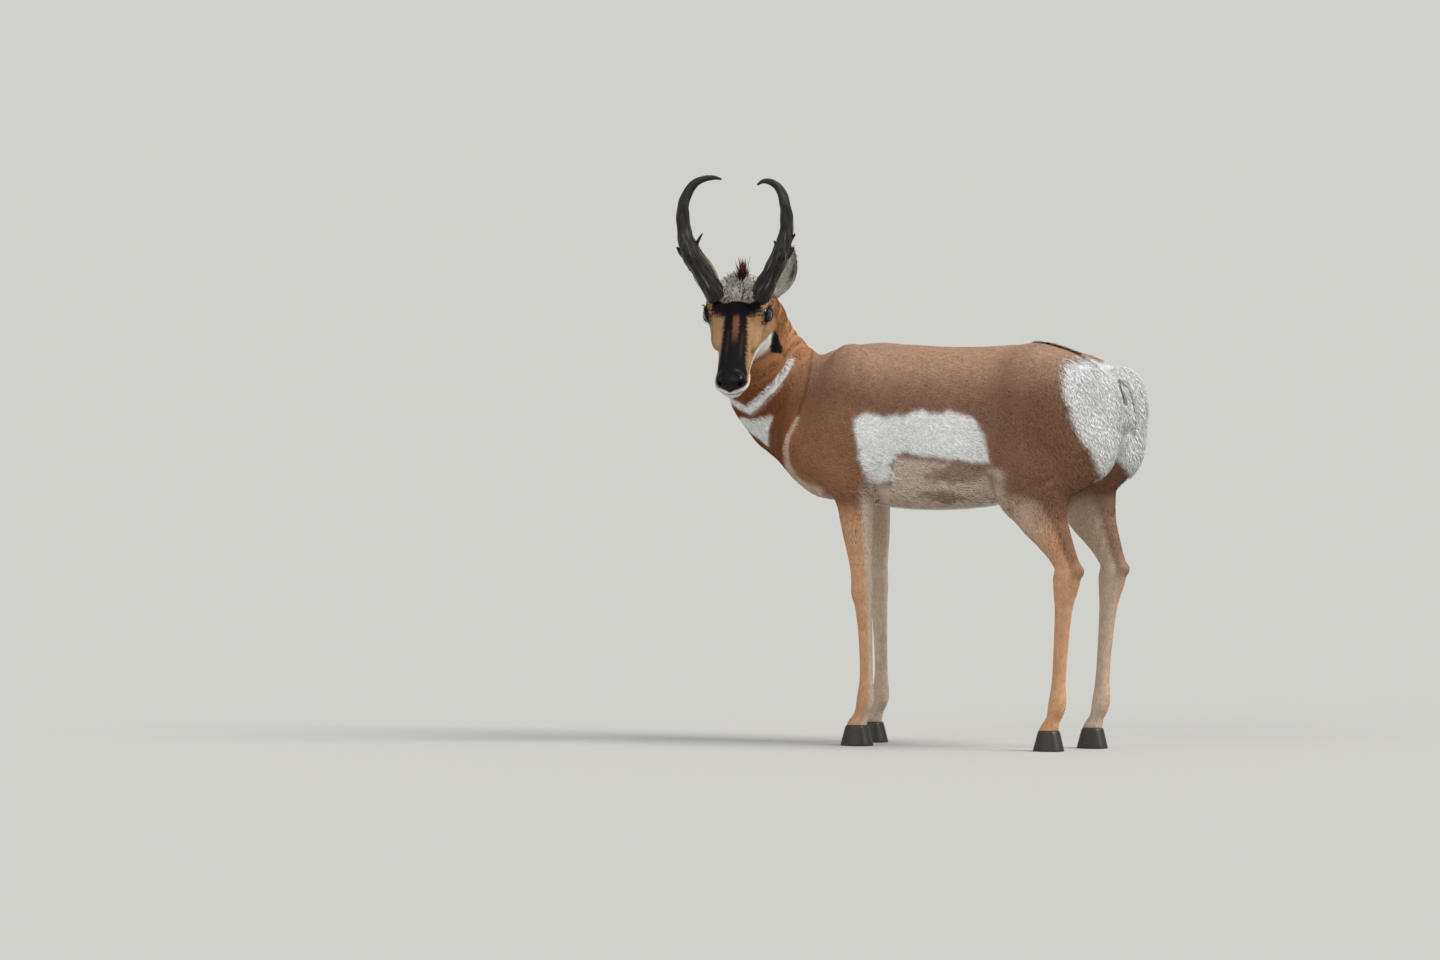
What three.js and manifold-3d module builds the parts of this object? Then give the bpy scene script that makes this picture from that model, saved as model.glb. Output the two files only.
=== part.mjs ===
// A pronghorn buck, life size, standing square with its neck raised and its head turned to look back past its left side.
// Millimetres. +X runs forward along the trunk, +Y to the animal's left, +Z up, and the hooves stand on Z = 0.
// The flesh is one field: its value is below zero inside the body. Each mesh is a stretch of that field, parted by thin cuts.
import * as THREE from "three";
import { mergeVertices } from "three/addons/utils/BufferGeometryUtils.js";
import Module from "manifold-3d";

const wasm = await Module();
wasm.setup();

// Driving dimensions
const GAP = 0.3; // left between pieces that meet
const FORE_CUT = 486; // height where a foreleg leaves the chest
const HIND_CUT = 500; // height where a hind leg leaves the haunch
const KNEE_CUT = 292;
const HOCK_CUT = 400;
const HOOF_CUT = 44;
const EYE_RADIUS = 19.5;
const HEAD_AT = [546, 150, 905]; // between the eyes
const HEAD_TURN = 112; // degrees that the face is turned to the left of the trunk
const HEAD_DROP = 36; // degrees that the muzzle points below level
const HORN_LEAN = 20; // degrees that the horns tilt back from the crown's normal
const RIGHT_FORE_STEP = 44; // the right foreleg stands this far ahead of the left
const RIGHT_HIND_STEP = -20;

// Small vector sums on plain arrays
const add = (a, b, s = 1) => [a[0] + b[0] * s, a[1] + b[1] * s, a[2] + b[2] * s];
const dot = (a, b) => a[0] * b[0] + a[1] * b[1] + a[2] * b[2];
const length = (a) => Math.hypot(a[0], a[1], a[2]);
const unit = (a) => a.map((v) => v / length(a));
const cross = (a, b) => [
  a[1] * b[2] - a[2] * b[1],
  a[2] * b[0] - a[0] * b[2],
  a[0] * b[1] - a[1] * b[0],
];
const mix = (a, b, t) => a.map((v, i) => v + (b[i] - v) * t);
const { clamp, degToRad } = THREE.MathUtils;

// The head's own axes: FORE towards the nose, SIDE to the animal's left, CROWN up through the forehead.
const turn = degToRad(HEAD_TURN);
const drop = degToRad(HEAD_DROP);
const FORE = [Math.cos(turn) * Math.cos(drop), Math.sin(turn) * Math.cos(drop), -Math.sin(drop)];
const SIDE = [-Math.sin(turn), Math.cos(turn), 0];
const CROWN = cross(FORE, SIDE);
const fromHead = (a, b, c) => add(add(add(HEAD_AT, FORE, a), SIDE, b), CROWN, c);
const toHead = (p) => {
  const d = add(p, HEAD_AT, -1);
  return [dot(d, FORE), dot(d, SIDE), dot(d, CROWN)];
};
const headWay = (a, b, c) => unit(add(fromHead(a, b, c), HEAD_AT, -1));

// Reads a table whose first column rises, on a smooth curve through its rows.
function along(rows, x) {
  const last = rows.length - 1;
  if (x <= rows[0][0]) return rows[0].slice(1);
  if (x >= rows[last][0]) return rows[last].slice(1);
  let i = 0;
  while (x > rows[i + 1][0]) i++;
  const [p, q] = [rows[i], rows[i + 1]];
  const [before, after] = [rows[Math.max(i - 1, 0)], rows[Math.min(i + 2, last)]];
  const step = q[0] - p[0];
  const t = (x - p[0]) / step;
  return p.slice(1).map((v, k) => {
    const j = k + 1;
    const slopeIn = ((q[j] - before[j]) / (q[0] - before[0])) * step;
    const slopeOut = ((after[j] - p[j]) / (after[0] - p[0])) * step;
    const [t2, t3] = [t * t, t * t * t];
    return (
      v * (2 * t3 - 3 * t2 + 1) + slopeIn * (t3 - 2 * t2 + t) + q[j] * (3 * t2 - 2 * t3) + slopeOut * (t3 - t2)
    );
  });
}

// Joins two distances with a fillet of about the given width.
function blend(a, b, width) {
  const h = Math.max(width - Math.abs(a - b), 0) / width;
  return Math.min(a, b) - (h * h * width) / 4;
}

// A long form whose top, bottom and half width follow a table of x. Taper above 0 makes the top wider than the bottom.
function profileField([x, y, z], rows, power) {
  const [top, bottom, half, taper] = along(rows, x);
  const tall = Math.max((top - bottom) / 2, 1);
  const v = (z - (top + bottom) / 2) / tall;
  const wide = Math.max(half * (1 + taper * clamp(v, -1, 1)), 1);
  const share = Math.pow(Math.pow(Math.abs(y / wide), power) + Math.pow(Math.abs(v), power), 1 / power);
  const beyond = Math.max(rows[0][0] - x, x - rows[rows.length - 1][0], 0);
  return (share - 1) * Math.min(wide, tall) + beyond;
}

// An egg-shaped muscle, tilted nose-up by some degrees in the side view.
function massField(p, [cx, cy, cz, rx, ry, rz, tilt = 0]) {
  const d = [p[0] - cx, p[1] - cy, p[2] - cz];
  const [c, s] = [Math.cos(degToRad(tilt)), Math.sin(degToRad(tilt))];
  const k = Math.hypot((d[0] * c + d[2] * s) / rx, d[1] / ry, (d[2] * c - d[0] * s) / rz);
  return length(d) * (1 - 1 / Math.max(k, 1e-6));
}

// A round bar that tapers from one end to the other.
function barField(p, a, b, ra, rb) {
  const [ab, ap] = [add(b, a, -1), add(p, a, -1)];
  const t = clamp(dot(ap, ab) / dot(ab, ab), 0, 1);
  return length(add(ap, ab, -t)) - (ra + (rb - ra) * t);
}

// A bent form: rows of [x, y, z, half width across, half depth fore and aft, heading], joined by a smooth curve.
function limbOf(rows, perRow = 3) {
  const numbered = rows.map((row, i) => [i, ...row]);
  const count = (rows.length - 1) * perRow;
  const stations = Array.from({ length: count + 1 }, (_, i) => along(numbered, i / perRow));
  return stations.slice(1).map((b, i) => ({ a: stations[i], b }));
}

function limbField(p, limb) {
  let best = Infinity;
  for (const { a, b } of limb) {
    const ab = add(b, a, -1);
    const t = clamp(dot(add(p, a, -1), ab) / dot(ab, ab), 0, 1);
    const [x, y, z, wide, deep, heading] = mix(a, b, t);
    const o = add(p, [x, y, z], -1);
    const far = length(o);
    if (far - wide - deep > best) continue;
    const across = -Math.sin(degToRad(heading)) * o[0] + Math.cos(degToRad(heading)) * o[1];
    const rest = Math.sqrt(Math.max(far * far - across * across, 0));
    const k = Math.hypot(across / wide, rest / deep);
    best = Math.min(best, far * (1 - 1 / Math.max(k, 1e-6)));
  }
  return best;
}

// Trunk: x, back line, belly line, half width, taper
const TRUNK = [
  [-298, 744, 655, 34, 0],
  [-287, 766, 625, 60, 0],
  [-262, 789, 596, 82, 0],
  [-230, 813, 568, 95, 0.05],
  [-180, 841, 548, 103, 0.05],
  [-110, 857, 532, 106, 0.02],
  [-40, 857, 511, 106, -0.02],
  [40, 852, 497, 113, -0.04],
  [130, 850, 490, 119, -0.02],
  [220, 853, 489, 114, 0.06],
  [300, 855, 494, 104, 0.16],
  [360, 848, 502, 93, 0.2],
  [410, 835, 501, 82, 0.2],
  [450, 808, 513, 70, 0.1],
  [490, 770, 545, 54, 0],
  [515, 740, 588, 36, 0],
];

// Muscles of one side, which the other side mirrors
const SHOULDER = [
  [300, 70, 740, 78, 40, 112, -20],
  [268, 74, 640, 60, 40, 80, 0],
  [345, 84, 655, 88, 38, 78, 0],
];
const HAUNCH = [
  [-155, 70, 705, 114, 50, 126, 0],
  [-208, 74, 640, 84, 46, 108, 0],
  [-258, 56, 716, 70, 45, 94, 0],
  [-262, 60, 640, 54, 40, 70, 0],
  [-112, 82, 600, 72, 36, 96, -18],
];
const SHOULDER_POINT = [452, 66, 640];
const ELBOW = [318, 82, 556];
const HIP = [-96, 50, 796];
const STIFLE = [-92, 80, 536];

// Legs of the left side: x, y, z, half width, half depth, heading
const FORELEG = [
  [316, 74, 610, 42, 66, 0],
  [311, 76, 555, 37, 54, 0],
  [305, 75, 500, 32, 45, 0],
  [299, 74, 440, 27, 35, 0],
  [294, 73, 380, 22, 26.5, 0],
  [292, 72, 345, 23, 25.5, 0],
  [292, 72, 322, 23.5, 25, 0],
  [288, 72, 292, 18.5, 20.5, 0],
  [284, 71, 230, 14, 17.5, 0],
  [282, 71, 150, 13.5, 16.5, 0],
  [284, 71, 98, 18.5, 21, 0],
  [294, 71, 66, 17, 17.5, 0],
  [305, 71, 40, 21, 24, 0],
];
const HINDLEG = [
  [-128, 92, 560, 46, 84, 0],
  [-146, 90, 510, 40, 66, 0],
  [-168, 87, 462, 30, 45, 0],
  [-188, 84, 420, 21, 31, 0],
  [-202, 82, 388, 18, 27, 0],
  [-204, 81, 360, 22, 32, 0],
  [-200, 80, 330, 21.5, 27, 0],
  [-196, 79, 296, 17, 21.5, 0],
  [-190, 78, 230, 14, 18.5, 0],
  [-184, 77, 150, 13.5, 17.5, 0],
  [-180, 77, 98, 18.5, 21.5, 0],
  [-170, 77, 66, 16.5, 17.5, 0],
  [-159, 77, 40, 20.5, 23, 0],
];
const HOCK_POINT = [-232, 81, 378];
const TENDON_TOP = [-196, 86, 470];

// Neck: rises out of the chest and twists towards the head's heading
const NECK = [
  [300, 0, 654, 90, 130, 0],
  [446, 4, 684, 78, 126, 0],
  [523, 20, 750, 68, 113, 22],
  [549, 41, 820, 63, 92, 55],
  [554, 58, 880, 65, 80, 85],
  [558, 82, 924, 58, 64, 105],
];

// Head, in its own axes: along, top, bottom, half width, taper
const SKULL = [
  [-112, 12, -30, 22, 0],
  [-98, 26, -56, 38, 0],
  [-80, 36, -74, 49, -0.05],
  [-50, 44, -90, 54, -0.08],
  [-20, 49, -96, 55, -0.1],
  [10, 45, -95, 53, -0.1],
  [40, 36, -88, 48, -0.16],
  [70, 21, -81, 40, -0.2],
  [100, 9, -76, 37, -0.18],
  [130, 0, -74, 35.5, -0.12],
  [155, -7, -75, 34.5, -0.06],
  [172, -11, -77, 33, 0],
  [185, -17, -74, 28.5, 0],
  [194, -24, -66, 21, 0],
  [200, -33, -55, 11, 0],
];
const FACE = {
  orbit: [10, 45, 12, 37, 23, 27, -14],
  brow: [-10, 49, 33, 37, 21, 20, -20],
  cheek: [-18, 44, -40, 46, 22, 44, 20],
  cheekbone: [45, 40, -8, 48, 16, 16, -16],
  lip: [158, 22, -52, 34, 17, 14, 0],
  nostril: [182, 19, -31, 17, 14.5, 15, 0],
};
const CHIN = [163, 0, -69, 29, 24, 17, 2];
const EYE_AT = [12, 53, 13]; // centre of the left eyeball
const EYE_WAY = [0.34, 0.93, 0.12];

// Horns, in the head's axes: each row is height from the base, outward, forward, half thickness across and fore and aft
const HORN_BASE = [-14, 0, 46];
const HORN_RIGHT = [
  [-5, 46, -1, 21, 30],
  [8, 51, 1, 21.5, 31],
  [24, 59, 2, 20.5, 31],
  [46, 70, 5, 19.5, 31],
  [68, 81, 8, 19, 31],
  [90, 92, 10, 19, 32],
  [110, 100, 10, 18, 30],
  [128, 106, 7, 16.5, 24],
  [148, 110, 3, 15, 19],
  [168, 111, 0, 14, 16.5],
  [190, 109, -3, 12.5, 14.5],
  [210, 104, -7, 11, 12.5],
  [229, 94, -11, 9.5, 10.5],
  [243, 79, -14, 8, 8.5],
  [250, 60, -16, 6.5, 6.5],
  [251, 42, -17, 4.5, 4.5],
  [248, 28, -17, 2, 2],
];
const HORN_LEFT = [
  [-5, 49, -1, 21, 30],
  [8, 54, 1, 21.5, 31],
  [24, 62, 2, 20.5, 31],
  [42, 71, 5, 19.5, 31],
  [64, 82, 8, 19, 31],
  [84, 92, 10, 19, 32],
  [104, 100, 10, 18, 30],
  [122, 105, 7, 16.5, 24],
  [142, 108, 3, 15, 19],
  [162, 109, 0, 14, 16.5],
  [183, 109, -3, 12.5, 14.5],
  [203, 106, -7, 11, 12.5],
  [220, 100, -11, 9.5, 10.5],
  [235, 89, -14, 8, 8.5],
  [243, 74, -16, 6.5, 6.5],
  [243, 60, -17, 4.5, 4.5],
  [236, 48, -17, 2, 2],
];

// Ears: a row is share of the length, half width and cup depth
const EAR_ROOT = { left: [-80, 58, -8], right: [-80, 54, -6] };
const EAR_TIP = { left: [-110, 112, 90], right: [-112, 104, 90] };
const EAR_FACING = [0.85, 0.5, 0.1];
const EAR = [
  [0, 13, 8],
  [0.12, 19, 13],
  [0.28, 27, 16],
  [0.46, 30, 16],
  [0.64, 27, 13],
  [0.8, 19, 8],
  [0.92, 9, 4],
  [1, 2.5, 1],
];

const mirror = (p, side) => [p[0], p[1] * side, p[2]];
const shifted = (rows, dx, side) => rows.map(([x, y, ...rest]) => [x + dx, y * side, ...rest]);
const legs = {
  foreleg_left: limbOf(FORELEG),
  foreleg_right: limbOf(shifted(FORELEG, RIGHT_FORE_STEP, -1)),
  hindleg_left: limbOf(HINDLEG),
  hindleg_right: limbOf(shifted(HINDLEG, RIGHT_HIND_STEP, -1)),
};
const neckLimb = limbOf(NECK, 2);

function trunkField(p) {
  let d = profileField(p, TRUNK, 2.2);
  for (const side of [1, -1]) {
    const q = mirror(p, side);
    for (const row of SHOULDER) d = blend(d, massField(q, row), 34);
    d = blend(d, barField(q, SHOULDER_POINT, ELBOW, 50, 42), 34);
    for (const row of HAUNCH) d = blend(d, massField(q, row), 30);
    d = blend(d, barField(q, HIP, STIFLE, 34, 42), 60);
  }
  return d;
}

function legField(p, name) {
  const side = name.endsWith("left") ? 1 : -1;
  let d = limbField(p, legs[name]);
  if (name.startsWith("hind")) {
    const step = side > 0 ? 0 : RIGHT_HIND_STEP;
    const q = [p[0] - step, p[1] * side, p[2]];
    d = blend(d, barField(q, [-204, 81, 346], HOCK_POINT, 17, 13), 10);
    d = blend(d, barField(q, HOCK_POINT, TENDON_TOP, 9, 13), 14);
  }
  return d;
}

function headField(p) {
  const h = toHead(p);
  let d = profileField(h, SKULL, 2.3);
  const q = [h[0], Math.abs(h[1]), h[2]];
  d = blend(d, massField(q, FACE.cheek), 22);
  d = blend(d, massField(q, FACE.cheekbone), 16);
  d = blend(d, massField(q, FACE.orbit), 14);
  d = blend(d, massField(q, FACE.brow), 12);
  d = blend(d, massField(q, FACE.lip), 9);
  d = blend(d, massField(q, FACE.nostril), 9);
  return blend(d, massField(h, CHIN), 9);
}

const neckField = (p) => limbField(p, neckLimb);

function bodyField(p) {
  let d = blend(trunkField(p), neckField(p), 26);
  for (const name in legs) d = blend(d, legField(p, name), 26);
  return d;
}

const frontField = (p) => blend(bodyField(p), headField(p), 30);

// Meshes to solids and back
function solidFrom(geometry) {
  const bare = geometry.clone();
  bare.deleteAttribute("normal");
  bare.deleteAttribute("uv");
  const merged = mergeVertices(bare, 1e-3);
  return new wasm.Manifold(
    new wasm.Mesh({
      numProp: 3,
      vertProperties: new Float32Array(merged.attributes.position.array),
      triVerts: new Uint32Array(merged.index.array),
    }),
  );
}

function geometryFrom(solid) {
  const largest = solid.decompose().sort((a, b) => b.volume() - a.volume())[0];
  const { numProp, numVert, vertProperties, triVerts } = largest.getMesh();
  const position = new Float32Array(numVert * 3);
  for (let i = 0; i < numVert; i++) {
    position.set(vertProperties.subarray(i * numProp, i * numProp + 3), i * 3);
  }
  const geometry = new THREE.BufferGeometry();
  geometry.setAttribute("position", new THREE.BufferAttribute(position, 3));
  geometry.setIndex(new THREE.BufferAttribute(triVerts, 1));
  return withoutSlivers(geometry);
}

// Joins corners that lie closer than a hundredth of a millimetre, and drops the triangles that vanish.
function withoutSlivers(geometry) {
  const merged = mergeVertices(geometry, 0.01);
  const corners = merged.index.array;
  const kept = [];
  for (let i = 0; i < corners.length; i += 3) {
    const [a, b, c] = corners.slice(i, i + 3);
    if (a !== b && b !== c && c !== a) kept.push(a, b, c);
  }
  merged.setIndex(kept);
  merged.computeVertexNormals();
  return merged;
}

function geometryOf(vertices, faces) {
  const geometry = new THREE.BufferGeometry();
  geometry.setAttribute("position", new THREE.Float32BufferAttribute(vertices.flat(), 3));
  geometry.setIndex(faces.flat());
  return geometry;
}

// A closed skin through rings of points, all of one count, with a point at each end.
function skinOver(rings, first, last) {
  const n = rings[0].length;
  const vertices = [first, ...rings.flat(), last];
  const end = vertices.length - 1;
  const faces = [];
  const at = (ring, i) => 1 + ring * n + (i % n);
  for (let i = 0; i < n; i++) {
    faces.push([0, at(0, i + 1), at(0, i)]);
    faces.push([end, at(rings.length - 1, i), at(rings.length - 1, i + 1)]);
    for (let r = 0; r < rings.length - 1; r++) {
      faces.push([at(r, i), at(r, i + 1), at(r + 1, i)]);
      faces.push([at(r, i + 1), at(r + 1, i + 1), at(r + 1, i)]);
    }
  }
  const solid = solidFrom(geometryOf(vertices, faces));
  return solid.volume() > 0 ? solid : solidFrom(geometryOf(vertices, faces.map(([a, b, c]) => [a, c, b])));
}

// How far the field's surface lies from a point inside it.
function reachOf(field, from, way, most) {
  const stride = 5;
  let near = 0;
  while (near < most && field(add(from, way, near + stride)) < 0) near += stride;
  let [low, high] = [near, near + stride];
  for (let i = 0; i < 12; i++) {
    const middle = (low + high) / 2;
    if (field(add(from, way, middle)) < 0) low = middle;
    else high = middle;
  }
  return Math.min((low + high) / 2, most);
}

// A skin of rings cut from the field: each ring has a centre and two directions that span its plane.
function ringSolid(field, rings, sides, ends, most = 400) {
  const points = rings.map(({ centre, u, v }) =>
    Array.from({ length: sides }, (_, i) => {
      const angle = (i / sides) * 2 * Math.PI;
      const way = add(u.map((x) => x * Math.cos(angle)), v, Math.sin(angle));
      return add(centre, way, reachOf(field, centre, way, most));
    }),
  );
  return skinOver(points, ends[0], ends[1]);
}

// A skin drawn on a grid of boxes: one point in each box that the field's surface crosses, moved onto the surface.
function gridSolid(field, low, high, step) {
  const count = [0, 1, 2].map((k) => Math.ceil((high[k] - low[k]) / step[k]));
  const point = (i, j, k) => [low[0] + i * step[0], low[1] + j * step[1], low[2] + k * step[2]];
  const key = (i, j, k) => (i * (count[1] + 1) + j) * (count[2] + 1) + k;
  const values = new Float32Array((count[0] + 1) * (count[1] + 1) * (count[2] + 1)).fill(1);
  for (let i = 1; i < count[0]; i++)
    for (let j = 1; j < count[1]; j++)
      for (let k = 1; k < count[2]; k++) values[key(i, j, k)] = field(point(i, j, k));
  const CORNERS = Array.from({ length: 8 }, (_, n) => [n & 1, (n >> 1) & 1, (n >> 2) & 1]);
  const EDGES = [];
  for (let a = 0; a < 8; a++) for (const bit of [1, 2, 4]) if (!(a & bit)) EDGES.push([a, a | bit]);
  const vertices = [];
  const boxPoint = new Map();
  for (let i = 0; i < count[0]; i++)
    for (let j = 0; j < count[1]; j++)
      for (let k = 0; k < count[2]; k++) {
        const found = [];
        for (const [a, b] of EDGES) {
          const [ca, cb] = [CORNERS[a], CORNERS[b]];
          const va = values[key(i + ca[0], j + ca[1], k + ca[2])];
          const vb = values[key(i + cb[0], j + cb[1], k + cb[2])];
          if (va < 0 === vb < 0) continue;
          const t = va / (va - vb);
          found.push([0, 1, 2].map((m) => ca[m] + (cb[m] - ca[m]) * t));
        }
        if (!found.length) continue;
        const mean = [0, 1, 2].map((m) => found.reduce((sum, f) => sum + f[m], 0) / found.length);
        const at = point(i + mean[0], j + mean[1], k + mean[2]);
        boxPoint.set(key(i, j, k), vertices.length);
        vertices.push(settle(field, at, Math.min(...step) / 3));
      }
  const faces = [];
  const quad = (a, b, c, d, flip) => {
    const [p, q, r, s] = [a, b, c, d].map((n) => boxPoint.get(n));
    if (flip) faces.push([p, r, q], [p, s, r]);
    else faces.push([p, q, r], [p, r, s]);
  };
  for (let i = 0; i < count[0]; i++)
    for (let j = 0; j < count[1]; j++)
      for (let k = 0; k < count[2]; k++) {
        const here = values[key(i, j, k)] < 0;
        if (here !== values[key(i + 1, j, k)] < 0) {
          quad(key(i, j - 1, k - 1), key(i, j, k - 1), key(i, j, k), key(i, j - 1, k), !here);
        }
        if (here !== values[key(i, j + 1, k)] < 0) {
          quad(key(i - 1, j, k - 1), key(i - 1, j, k), key(i, j, k), key(i, j, k - 1), !here);
        }
        if (here !== values[key(i, j, k + 1)] < 0) {
          quad(key(i - 1, j - 1, k), key(i, j - 1, k), key(i, j, k), key(i - 1, j, k), !here);
        }
      }
  return solidFrom(geometryOf(vertices, faces));
}

// Moves a point onto the field's surface, by no more than the given distance.
function settle(field, p, most) {
  const h = 1;
  let q = p;
  for (let i = 0; i < 3; i++) {
    const d = field(q);
    const slope = [0, 1, 2].map((m) => {
      const ahead = [...q];
      ahead[m] += h;
      return (field(ahead) - d) / h;
    });
    q = add(q, slope, -d / Math.max(dot(slope, slope), 0.05));
  }
  const move = add(q, p, -1);
  const far = length(move);
  return far > most ? add(p, move, most / far) : q;
}

// Cutting blocks
function block(low, high) {
  const size = add(high, low, -1);
  const geometry = new THREE.BoxGeometry(...size);
  geometry.translate(...add(low, size, 0.5));
  return solidFrom(geometry);
}

// Everything on the side of a plane that its normal points to.
function beyondPlane(at, normal, offset = 0) {
  const size = 3000;
  const geometry = new THREE.BoxGeometry(size, size, size);
  geometry.translate(0, 0, size / 2 + offset);
  const turnTo = new THREE.Quaternion().setFromUnitVectors(
    new THREE.Vector3(0, 0, 1),
    new THREE.Vector3(...unit(normal)),
  );
  geometry.applyQuaternion(turnTo);
  geometry.translate(...at);
  return solidFrom(geometry);
}

// Where the nodes part
const NECK_PLANE = { at: [470, 0, 740], normal: [0.75, 0, 0.66] };
const HEAD_PLANE = { at: fromHead(-66, 0, -36), normal: headWay(0.72, 0, 0.69) };

const group = new THREE.Group();
const FINISH = {
  coat: new THREE.MeshStandardMaterial({ color: 0x9c7355, roughness: 0.9 }),
  rump: new THREE.MeshStandardMaterial({ color: 0xe8e6e0, roughness: 0.95 }),
  horn: new THREE.MeshStandardMaterial({ color: 0x35302b, roughness: 0.55 }),
  eye: new THREE.MeshStandardMaterial({ color: 0x0c0908, roughness: 0.08 }),
  hoof: new THREE.MeshStandardMaterial({ color: 0x221d1a, roughness: 0.5 }),
};

function place(name, solid, finish) {
  const mesh = new THREE.Mesh(geometryFrom(solid), finish);
  mesh.name = name;
  group.add(mesh);
  return mesh;
}

// Tail: hangs in the groove between the buttocks
const TAIL = [
  [-286, 0, 776, 15, 12, 0],
  [-303, 0, 752, 19, 15, 0],
  [-315, 0, 712, 18, 14, 0],
  [-318, 0, 672, 14, 11, 0],
  [-314, 0, 640, 7, 6, 0],
];
const tailLimb = limbOf(TAIL);
const tailRings = Array.from({ length: 9 }, (_, i) => {
  const [x, y, z] = along(TAIL.map((row, n) => [n, ...row]), (i / 8) * 3.9 + 0.05);
  return { centre: [x, y, z], u: [1, 0, 0], v: [0, 1, 0] };
});
const tailSolid = (grow) =>
  ringSolid((p) => limbField(p, tailLimb) - grow, tailRings, 12, [
    [-286, 0, 776 + 12 + grow],
    [-314, 0, 634 - grow],
  ]);

// Horns
const hornAxis = headWay(-Math.sin(degToRad(HORN_LEAN)), 0, Math.cos(degToRad(HORN_LEAN)));
const hornFore = headWay(Math.cos(degToRad(HORN_LEAN)), 0, Math.sin(degToRad(HORN_LEAN)));

function hornPoint(side, height, out, fore) {
  const foot = fromHead(HORN_BASE[0], out * side, HORN_BASE[2]);
  return add(add(foot, hornAxis, height), hornFore, fore);
}

// A bent spike with an oval section; its rows are [height, out, forward, half across, half fore and aft].
function spike(side, rows, count, sides, grow = 0) {
  const numbered = rows.map((row, i) => [i, ...row]);
  const last = rows.length - 1;
  const rings = Array.from({ length: count }, (_, i) => {
    const t = (i / (count - 1)) * last;
    const [height, out, fore, across, deep] = along(numbered, t);
    const [h1, o1, f1] = along(numbered, Math.min(t + 0.1, last));
    const [h0, o0, f0] = along(numbered, Math.max(t - 0.1, 0));
    const axis = unit(add(hornPoint(side, h1, o1, f1), hornPoint(side, h0, o0, f0), -1));
    const u = unit(add(hornFore, axis, -dot(hornFore, axis)));
    const v = cross(axis, u);
    const centre = hornPoint(side, height, out, fore);
    return Array.from({ length: sides }, (_, k) => {
      const angle = (k / sides) * 2 * Math.PI;
      const way = add(u.map((x) => x * Math.cos(angle) * (deep + grow)), v, Math.sin(angle) * (across + grow));
      return add(centre, way);
    });
  });
  const ends = [rows[0], rows[last]].map(([height, out, fore]) => hornPoint(side, height, out, fore));
  return skinOver(rings, add(ends[0], hornAxis, -1 - grow), add(ends[1], hornAxis, 1));
}

// The prong leaves the front edge below the middle, with a low knob on either side of it.
const PRONG = [
  [70, 93, 14, 12, 18],
  [88, 98, 30, 12, 15],
  [104, 102, 44, 9, 11],
  [118, 104, 52, 6, 7],
  [130, 105, 55, 1.5, 2],
];
const KNOBS = [
  [
    [84, 100, 8, 12, 14],
    [96, 115, 10, 8, 9],
    [106, 125, 10, 1.5, 2],
  ],
  [
    [94, 98, 6, 12, 13],
    [108, 88, 8, 6, 7],
    [120, 83, 8, 1.5, 2],
  ],
];
const hornRows = { left: HORN_LEFT, right: HORN_RIGHT };
const hornSolid = (name, side) => {
  let horn = spike(side, hornRows[name], 17, 14);
  horn = horn.add(spike(side, PRONG, 5, 8));
  for (const knob of KNOBS) horn = horn.add(spike(side, knob, 3, 6));
  return horn;
};
const hornSocket = (name, side) => spike(side, hornRows[name].slice(0, 4), 7, 14, GAP + 0.2);

// Ears: a cupped blade whose section is a crescent, open to the front
function earSolid(name, side, grow = 0) {
  const [root, tip] = [EAR_ROOT[name], EAR_TIP[name]].map(([a, b, c]) => fromHead(a, b * side, c));
  const axis = unit(add(tip, root, -1));
  const tall = length(add(tip, root, -1));
  const facing = headWay(EAR_FACING[0], EAR_FACING[1] * side, EAR_FACING[2]);
  const front = unit(add(facing, axis, -dot(facing, axis)));
  const across = cross(axis, front);
  const rings = Array.from({ length: 11 }, (_, i) => {
    const t = i / 10;
    const [half, cup] = along(EAR, t);
    const centre = add(add(root, axis, t * tall), front, cup * 0.5 - 10 * t * t);
    const thick = 2.6 - 1.2 * t;
    const arc = (k, offset) => {
      const angle = degToRad(-100 + 200 * (k / 6));
      const wide = Math.sin(angle) * (half + offset);
      return add(add(centre, across, wide), front, -Math.cos(angle) * (cup + offset));
    };
    const outer = Array.from({ length: 7 }, (_, k) => arc(k, thick + grow));
    const inner = Array.from({ length: 7 }, (_, k) => arc(6 - k, -thick - grow));
    return [...outer, ...inner];
  });
  const mean = (ring) => ring.reduce((sum, p) => add(sum, p), [0, 0, 0]).map((v) => v / ring.length);
  const back = (ring) => mix(ring[3], ring[10], 0.5);
  return skinOver(rings, add(mix(mean(rings[0]), back(rings[0]), 1), axis, -1 - grow), add(back(rings[10]), axis, 2));
}

// Eyes, and the lids that lap over them
const eyeAt = (side) => fromHead(EYE_AT[0], EYE_AT[1] * side, EYE_AT[2]);
const eyeBall = (side, radius) => {
  const geometry = new THREE.SphereGeometry(radius, 14, 9);
  geometry.translate(...eyeAt(side));
  return solidFrom(geometry);
};

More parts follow.
